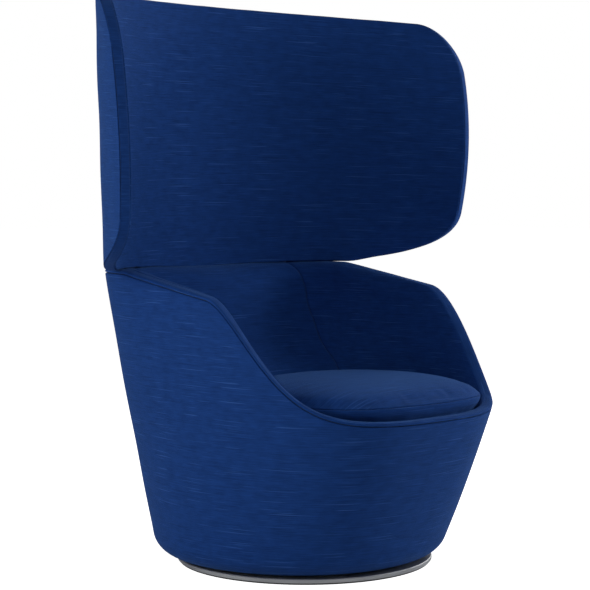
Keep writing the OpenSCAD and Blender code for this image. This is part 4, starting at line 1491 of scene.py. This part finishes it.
@dataclass
class Cushion:
    """The loose seat cushion: a crowned top over a boxing, with a seam between them.

    Attributes:
        shape: Sizes of the tub.
        gap: Gap to the pads.
        bottom: Height of the underside.
        seam_z, seam_rise: Height of the seam in front, and its rise to the back.
        crown, crown_power: Height and power of the crown over the seam.
        draw_in: Depth of the waist at the zip.
        lip_swell, swell_room: How far it swells over the lip, and over which height.
        shrink: How much smaller the sewn form is than the filled one.
        voxel: Size of the faces of the copy that is filled.
        pressure, fill_frames: Pressure and length of the simulation.
        cap: Greatest motion that is taken from it.
        columns: Columns round the cushion.
        girth: Length of the seam.
        seam_line, pucker: Depth and width of the seam's line and of its puckers.
        pucker_pitch: Distance between two puckers.
        waist, foot_round: How far the side is drawn in halfway up, and at its lower edge.
        neighbours: How many points of the filled copy each fine point follows.
        zip_out, zip_angle: How far the teeth stand out, and half the angle of the zip.
    """

    shape: TubShape = field(default_factory=TubShape)
    gap: float = 0.003
    bottom: float = 0.3043
    seam_z: float = 0.402
    seam_rise: float = 0.012
    crown: float = 0.039
    crown_power: float = 4.2
    draw_in: float = 0.004
    lip_swell: float = 0.013
    swell_room: float = 0.012
    shrink: float = 0.005
    voxel: float = 0.005
    pressure: float = 4.0
    cap: float = 0.007
    fill_frames: int = 20
    columns: int = 320
    girth: float = 1.72
    seam_line: tuple[float, float] = (0.0056, 0.0013)
    pucker: tuple[float, float] = (0.0014, 0.009)
    pucker_pitch: float = 0.0172
    waist: float = 0.002
    foot_round: float = 0.010
    neighbours: int = 12
    zip_out: float = 0.0019
    zip_angle: float = 51.0

    @property
    def middle(self) -> Array:
        """Middle of the cushion in plan."""
        return np.array([0.0, -self.shape.oval_forward])

    def seam_height(self, th: Array) -> Array:
        """Height of the seam at an angle."""
        return self.seam_z + self.seam_rise * ease((self.shape.half(th) - 60) / 60)

    def swell(self, th: Array, z: Array) -> Array:
        """Distance by which the cushion swells out over the lip, where its seam stands clear of it.

        Args:
            th: Angles in plan, in degrees.
            z: Heights.

        Returns:
            Distances.
        """
        free = self.shape.rim_z(th) + self.shape.band_rise
        share = ease((self.seam_height(th) - free - self.swell_room) / self.swell_room)
        return self.lip_swell * share * ease((z - free) / self.swell_room)

    def edge(self, th: Array, z: Array) -> Array:
        """Side of the cushion's space at an angle and a height."""
        return self.shape.point(th, z, self.shape.wall_t(th, z) + self.gap - self.swell(th, z))

    def rings(self, columns: int, sides: Array, tops: Array) -> Array:
        """Points of the sewn form, a little smaller than the cushion's space.

        Args:
            columns: Columns round the cushion.
            sides: Shares of the side's height, from the bottom to the seam at 1.
            tops: Shares of the way out from the middle, from the seam inwards.

        Returns:
            Rings by columns by 3, from the bottom up and in over the top.
        """
        th = np.linspace(0, 360, columns, endpoint=False)
        seam = self.seam_height(th)
        floor = self.bottom + self.shrink * 0.4
        rows: list[Array] = []
        for t in sides:
            z = mix(floor, seam, t)
            p = self.edge(th, z)
            reach = np.linalg.norm(p[:, :2] - self.middle, axis=1, keepdims=True)
            draw = self.shrink + self.waist * 4 * t * (1 - t) + self.foot_round * max(0.0, 1 - t / 0.1) ** 2
            plan = self.middle + (p[:, :2] - self.middle) * (1 - draw / reach)
            rows.append(np.column_stack([plan, z]))
        rim = rows[-1]
        crown = self.seam_z + self.crown - self.shrink
        for share in tops:
            z = mix(crown, seam, share ** self.crown_power)
            rows.append(np.column_stack([self.middle + (rim[:, :2] - self.middle) * share, z]))
        return np.stack(rows)

    def filled(self) -> tuple[Array, Array]:
        """Fills a copy of the form by cloth simulation.

        Returns:
            Places of the copy's points before, and how far each one moves, capped.
        """
        sides = np.array([0.0, 0.04, 0.12, 0.3, 0.5, 0.62, 0.7, 0.78, 0.86, 0.94, 1.0])
        rings = self.rings(160, sides, np.array([0.97, 0.93, 0.87, 0.8, 0.7, 0.58, 0.44, 0.3, 0.15]))
        obj = self.skin("cushion_fill", rings, len(sides) - 1)
        even = obj.modifiers.new("even", "REMESH")
        even.mode, even.voxel_size = "VOXEL", self.voxel
        apply_modifiers(obj)
        rest = read_points(obj)
        cloth = obj.modifiers.new("fill", "CLOTH")
        fill = cloth.settings
        fill.quality = 5
        fill.mass = 0.4
        fill.tension_stiffness = fill.compression_stiffness = 22
        fill.bending_stiffness = 1.5
        fill.use_pressure = True
        fill.uniform_pressure_force = self.pressure
        fill.effector_weights.gravity = 0
        cloth.point_cache.frame_start, cloth.point_cache.frame_end = 1, self.fill_frames
        for number in range(1, self.fill_frames + 1):
            bpy.context.scene.frame_set(number)
        apply_modifiers(obj)
        bpy.context.scene.frame_set(1)
        moved = read_points(obj) - rest
        length = np.linalg.norm(moved, axis=1, keepdims=True)
        bpy.data.objects.remove(obj)
        return rest, moved * np.minimum(1, self.cap / np.maximum(length, 1e-9))

    def follow(self, rings: Array) -> Array:
        """Moves the fine form as the filled copy moved.

        Args:
            rings: Points of the sewn form.

        Returns:
            Points of the filled form.
        """
        rest, moved = self.filled()
        tree = KDTree(len(rest))
        for i, place in enumerate(rest):
            tree.insert(place, i)
        tree.balance()
        p = rings.reshape(-1, 3)
        shift = np.zeros_like(p)
        for i, place in enumerate(p):
            near = tree.find_n(place, self.neighbours)
            weight = np.array([1 / (distance + 0.003) ** 2 for _, _, distance in near])
            shift[i] = weight @ moved[[number for _, number, _ in near]] / weight.sum()
        return (p + shift).reshape(rings.shape)

    def keep_inside(self, p: Array) -> Array:
        """Keeps points inside the cushion's space, flat where the cushion rests.

        Args:
            p: Points of the form.

        Returns:
            The points, moved in where they stood out.
        """
        th = np.degrees(np.arctan2(p[..., 0], -p[..., 1]))
        z = np.maximum(p[..., 2], self.bottom)
        side = self.edge(th, np.clip(z, self.bottom, self.seam_height(th)))[..., :2]
        reach = np.linalg.norm(side - self.middle, axis=-1) + 0.0015
        own = np.linalg.norm(p[..., :2] - self.middle, axis=-1)
        k = np.minimum(1, reach / np.maximum(own, 1e-6))
        plan = self.middle + (p[..., :2] - self.middle) * k[..., None]
        return np.concatenate([plan, z[..., None]], -1)

    def sew(self, rings: Array, seam: int) -> Array:
        """Draws the seam between the top and the boxing in, with small puckers.

        Args:
            rings: Points of the filled form.
            seam: Number of the ring that lies in the seam.

        Returns:
            The sewn form.
        """
        away = np.linalg.norm(np.diff(rings, axis=0), axis=-1)
        up = np.concatenate([np.zeros((1, rings.shape[1])), np.cumsum(away, 0)])
        dz = np.abs(up - up[seam])
        around = np.linspace(0, self.girth, rings.shape[1], endpoint=False)[None, :]
        swing = 0.6 + 0.4 * np.sin(around * 2 * np.pi / 0.43)
        pucker = 1 + 0.4 * np.sin(around * 2 * np.pi / self.pucker_pitch) * swing
        depth = self.seam_line[0] * np.exp(-dz / self.seam_line[1])
        depth += self.pucker[0] * pucker * np.exp(-(dz / self.pucker[1]) ** 1.5)
        line = rings[seam]
        out = unit(np.column_stack([line[:, :2] - self.middle, np.full(len(line), 0.10)]))
        return rings - out[None] * depth[..., None]

    def skin(self, name: str, rings: Array, seam: int) -> Object:
        """Closes the rings to a solid, with its threads level round the boxing and straight on top.

        Args:
            name: Object name.
            rings: Points of the form.
            seam: Number of the ring that lies in the seam.

        Returns:
            The cushion's solid.
        """
        m, n = rings.shape[:2]
        ends = np.array([rings[-1].mean(0), rings[0].mean(0)])
        points = np.concatenate([rings.reshape(-1, 3), ends])
        flat = points[:, :2].copy()
        top = np.concatenate([rings[seam:], np.broadcast_to(ends[0], (1, n, 3))])[::-1]
        reach = chain_lengths(top, 0)[1:][::-1]
        way = unit(rings[seam:, :, :2] - ends[0, :2])
        flat[seam * n:m * n] = (ends[0, :2] + way * reach[..., None]).reshape(-1, 2)
        around = np.linspace(0, self.girth, n + 1)
        faces: list[tuple[int, ...]] = []
        corners: list[tuple[float, float]] = []
        for i in range(m - 1):
            for j in range(n):
                k = (j + 1) % n
                face = (i * n + j, i * n + k, (i + 1) * n + k, (i + 1) * n + j)
                faces.append(face)
                if i < seam:
                    low, high, a, b = points[face[0], 2], points[face[3], 2], around[j], around[j + 1]
                    corners += [(a, low), (b, low), (b, high), (a, high)]
                else:
                    corners += [tuple(flat[c]) for c in face]
        for j in range(n):
            k = (j + 1) % n
            for face in (((m - 1) * n + j, (m - 1) * n + k, m * n), (k, j, m * n + 1)):
                faces.append(face)
                corners += [tuple(flat[c]) for c in face]
        return make_object(name, points, faces, np.array(corners))

    def outward(self, points: Array) -> Array:
        """Level directions away from the cushion's middle."""
        way = unit(points[:, :2] - self.middle)
        return np.column_stack([way, np.zeros(len(way))])

    def zip_path(self) -> tuple[Array, Array]:
        """Path of the zip's teeth along the waist of the side behind, and the way that they face.

        Returns:
            Points and outward directions of the path.
        """
        th = 180 + self.zip_angle * np.linspace(-1, 1, 90)
        p = self.edge(th, mix(self.bottom, self.seam_height(th), 0.5))
        way = self.outward(p)
        return p + way * (self.zip_out - self.draw_in), way

    def build(self, finishes: Finishes) -> None:
        """Builds, fills, sews and dresses the cushion.

        Args:
            finishes: Every finish.
        """
        near = np.array([0.0, 0.0004, 0.0009, 0.0016, 0.0026, 0.004, 0.006, 0.009, 0.013, 0.018])
        sides = [0.0, 0.01, 0.03, 0.06, 0.1, 0.16, 0.24, 0.33, 0.42, 0.5, 0.57, 0.63, 0.69, 0.74, 0.78]
        sides = np.concatenate([sides, 1 - near[::-1] / 0.1])
        tops = [0.91, 0.885, 0.86, 0.83, 0.8, 0.76, 0.71, 0.66, 0.6, 0.53, 0.45, 0.36, 0.27, 0.18, 0.09]
        tops = np.concatenate([1 - near[1:] / 0.27, tops])
        seam = len(sides) - 1
        rings = self.sew(self.keep_inside(self.follow(self.rings(self.columns, sides, tops))), seam)
        obj = self.skin("seat_cushion_cloth", rings, seam)
        finish_piece(obj, finishes.cloth, "woven_fabric", "cushion", 0.85, "seat_cushion")
        line = np.concatenate([rings[seam], rings[seam][:1]])
        way = self.outward(line)
        stitches = stitch_row("cushion_stitches", 5, 0.0009)
        stitches.lay([(line + way * 0.0002, way)], finishes.seam, "woven_fabric", "cushion")
        teeth = Row("zip_teeth", RowShape.TOOTH, 0.0014, (0.0008, 0.0034, 0.0007), 0.0016, 6)
        teeth.lay([self.zip_path()], finishes.zip_teeth, "zip_tape", "cushion")


# Carried-over nodes


def dress_nodes(finishes: Finishes) -> None:
    """Gives every node of the model that stays its finish.

    Args:
        finishes: Every finish.
    """
    looks = {
        finishes.rubber: ("floor_pad",),
        finishes.plate: ("base_plate",),
        finishes.swivel: ("spindle", "spindle_screws", "lower_race", "bearing_balls", "thrust_washer",
                          "spindle_nut", "upper_race", "swivel_hub", "hub_bolts"),
        finishes.ply: ("bottom_board", "support_ribs", "seat_frame"),
        finishes.dust_cloth: ("dust_cover",),
        finishes.webbing: ("cross_straps", "long_straps"),
        finishes.felt: ("deck_pad",),
        finishes.shell: ("shell_core", "hood_core"),
        finishes.bar: ("left_hood_bar", "right_hood_bar", "bar_clamps"),
        finishes.zip_tape: ("cushion_zip",),
    }
    for material, names in looks.items():
        for name in names:
            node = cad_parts[name]
            if not node.material_slots:
                node.data.materials.append(material)
            for place in node.material_slots:
                place.material = material
            LOG.info("%s: %s", name, material.name)


# Studio


@dataclass(frozen=True)
class Lamp:
    """A soft studio lamp.

    Attributes:
        name: Name of the lamp.
        place: Its place.
        aim: The point that it faces.
        size: Its width and height.
        power: Its power in watts.
    """

    name: str
    place: tuple[float, float, float]
    aim: tuple[float, float, float]
    size: tuple[float, float]
    power: float

    def build(self) -> None:
        """Adds the lamp."""
        data = bpy.data.lights.new(self.name, "AREA")
        data.shape = "RECTANGLE"
        data.size, data.size_y = self.size
        data.energy = self.power
        obj = add_object(self.name, data)
        way = np.array(self.aim) - np.array(self.place)
        obj.location = self.place
        yaw = math.atan2(way[1], way[0]) - math.pi / 2
        pitch = math.atan2(way[2], math.hypot(way[0], way[1])) + math.pi / 2
        obj.rotation_euler = Euler((pitch, 0, yaw))


@dataclass
class Studio:
    """Camera, lamps, world and floor.

    Attributes:
        lens: Focal length in millimetres.
        eye: Place of the camera.
        tilt, azimuth: Its angles below the horizon and about the vertical, in degrees.
        ambient: Strength of the world's light on the object.
    """

    lens: float = 105.97
    eye: tuple[float, float, float] = (-2.8446, -2.9128, 0.864)
    tilt: float = 3.41
    azimuth: float = -44.0
    ambient: float = 0.08

    def camera(self) -> None:
        """Adds the camera at the photograph's viewing angle."""
        data = bpy.data.cameras.new("view")
        data.lens = self.lens
        data.sensor_width = 36.0
        data.clip_end = 60.0
        obj = add_object("view", data)
        obj.location = self.eye
        obj.rotation_euler = Euler((math.radians(90 - self.tilt), 0, math.radians(self.azimuth)))
        bpy.context.scene.camera = obj

    def world(self) -> None:
        """Makes the world white to the camera and soft on the object."""
        world = bpy.data.worlds.new("studio")
        bpy.context.scene.world = world
        world.use_nodes = True
        tree = world.node_tree
        back = tree.nodes["Background"]
        back.inputs[0].default_value = (1, 1, 1, 1)
        rays = add_node(tree, "ShaderNodeLightPath").outputs
        seen = rays["Is Camera Ray"]
        for name in ("Is Glossy Ray", "Is Transmission Ray"):
            both = {0: seen, 1: rays[name]}
            seen = add_node(tree, "ShaderNodeMath", both, operation="MAXIMUM").outputs[0]
        level = add_node(tree, "ShaderNodeMapRange", {0: seen, 3: self.ambient, 4: 1.0}).outputs[0]
        put(tree, back.inputs[1], level)

    def floor(self) -> None:
        """Adds a plain pale floor that keeps the object's shadow."""
        corners = np.array([(-30, -30, 0), (30, -30, 0), (30, 30, 0), (-30, 30, 0)], float)
        obj = make_object("floor", corners, [(0, 1, 2, 3)])
        s = Sheet("pale_floor")
        seen = add_node(s.tree, "ShaderNodeLightPath").outputs["Is Camera Ray"]
        s.put("Base Color", (0.86, 0.86, 0.86, 1))
        s.put("Roughness", 0.95)
        s.put("Specular IOR Level", 0.0)
        s.put("Emission Color", (1, 1, 1, 1))
        s.put("Emission Strength", s.times(seen, 0.95))
        obj.data.materials.append(s.material)

    def build(self) -> None:
        """Adds everything that isn't part of the object."""
        bpy.context.scene.view_settings.view_transform = "Standard"
        self.camera()
        self.world()
        self.floor()
        for lamp in (
            Lamp("left", (-3.4, 0.9, 1.5), (0, 0, 0.7), (1.6, 2.2), 45),
            Lamp("right", (2.6, -2.2, 1.5), (0, 0, 0.8), (1.2, 1.2), 40),
            Lamp("side", (3.2, -0.35, 2.2), (0, -0.1, 0.6), (1.2, 1.2), 28),
            Lamp("behind", (1.6, 2.6, 3.0), (0, 0, 0.6), (1.8, 1.8), 26),
            Lamp("front", (-2.4, -2.6, 2.6), (0, 0, 0.7), (2.0, 1.6), 18),
        ):
            lamp.build()


def main() -> None:
    """Builds the scene, piece by piece."""
    logging.basicConfig(level=logging.INFO, format="%(name)s: %(message)s")
    Studio().build()
    finishes = build_finishes()
    dress_nodes(finishes)
    Tub().build(finishes)
    Hood().build(finishes)
    Cushion().build(finishes)


if __name__ == "__main__":
    main()
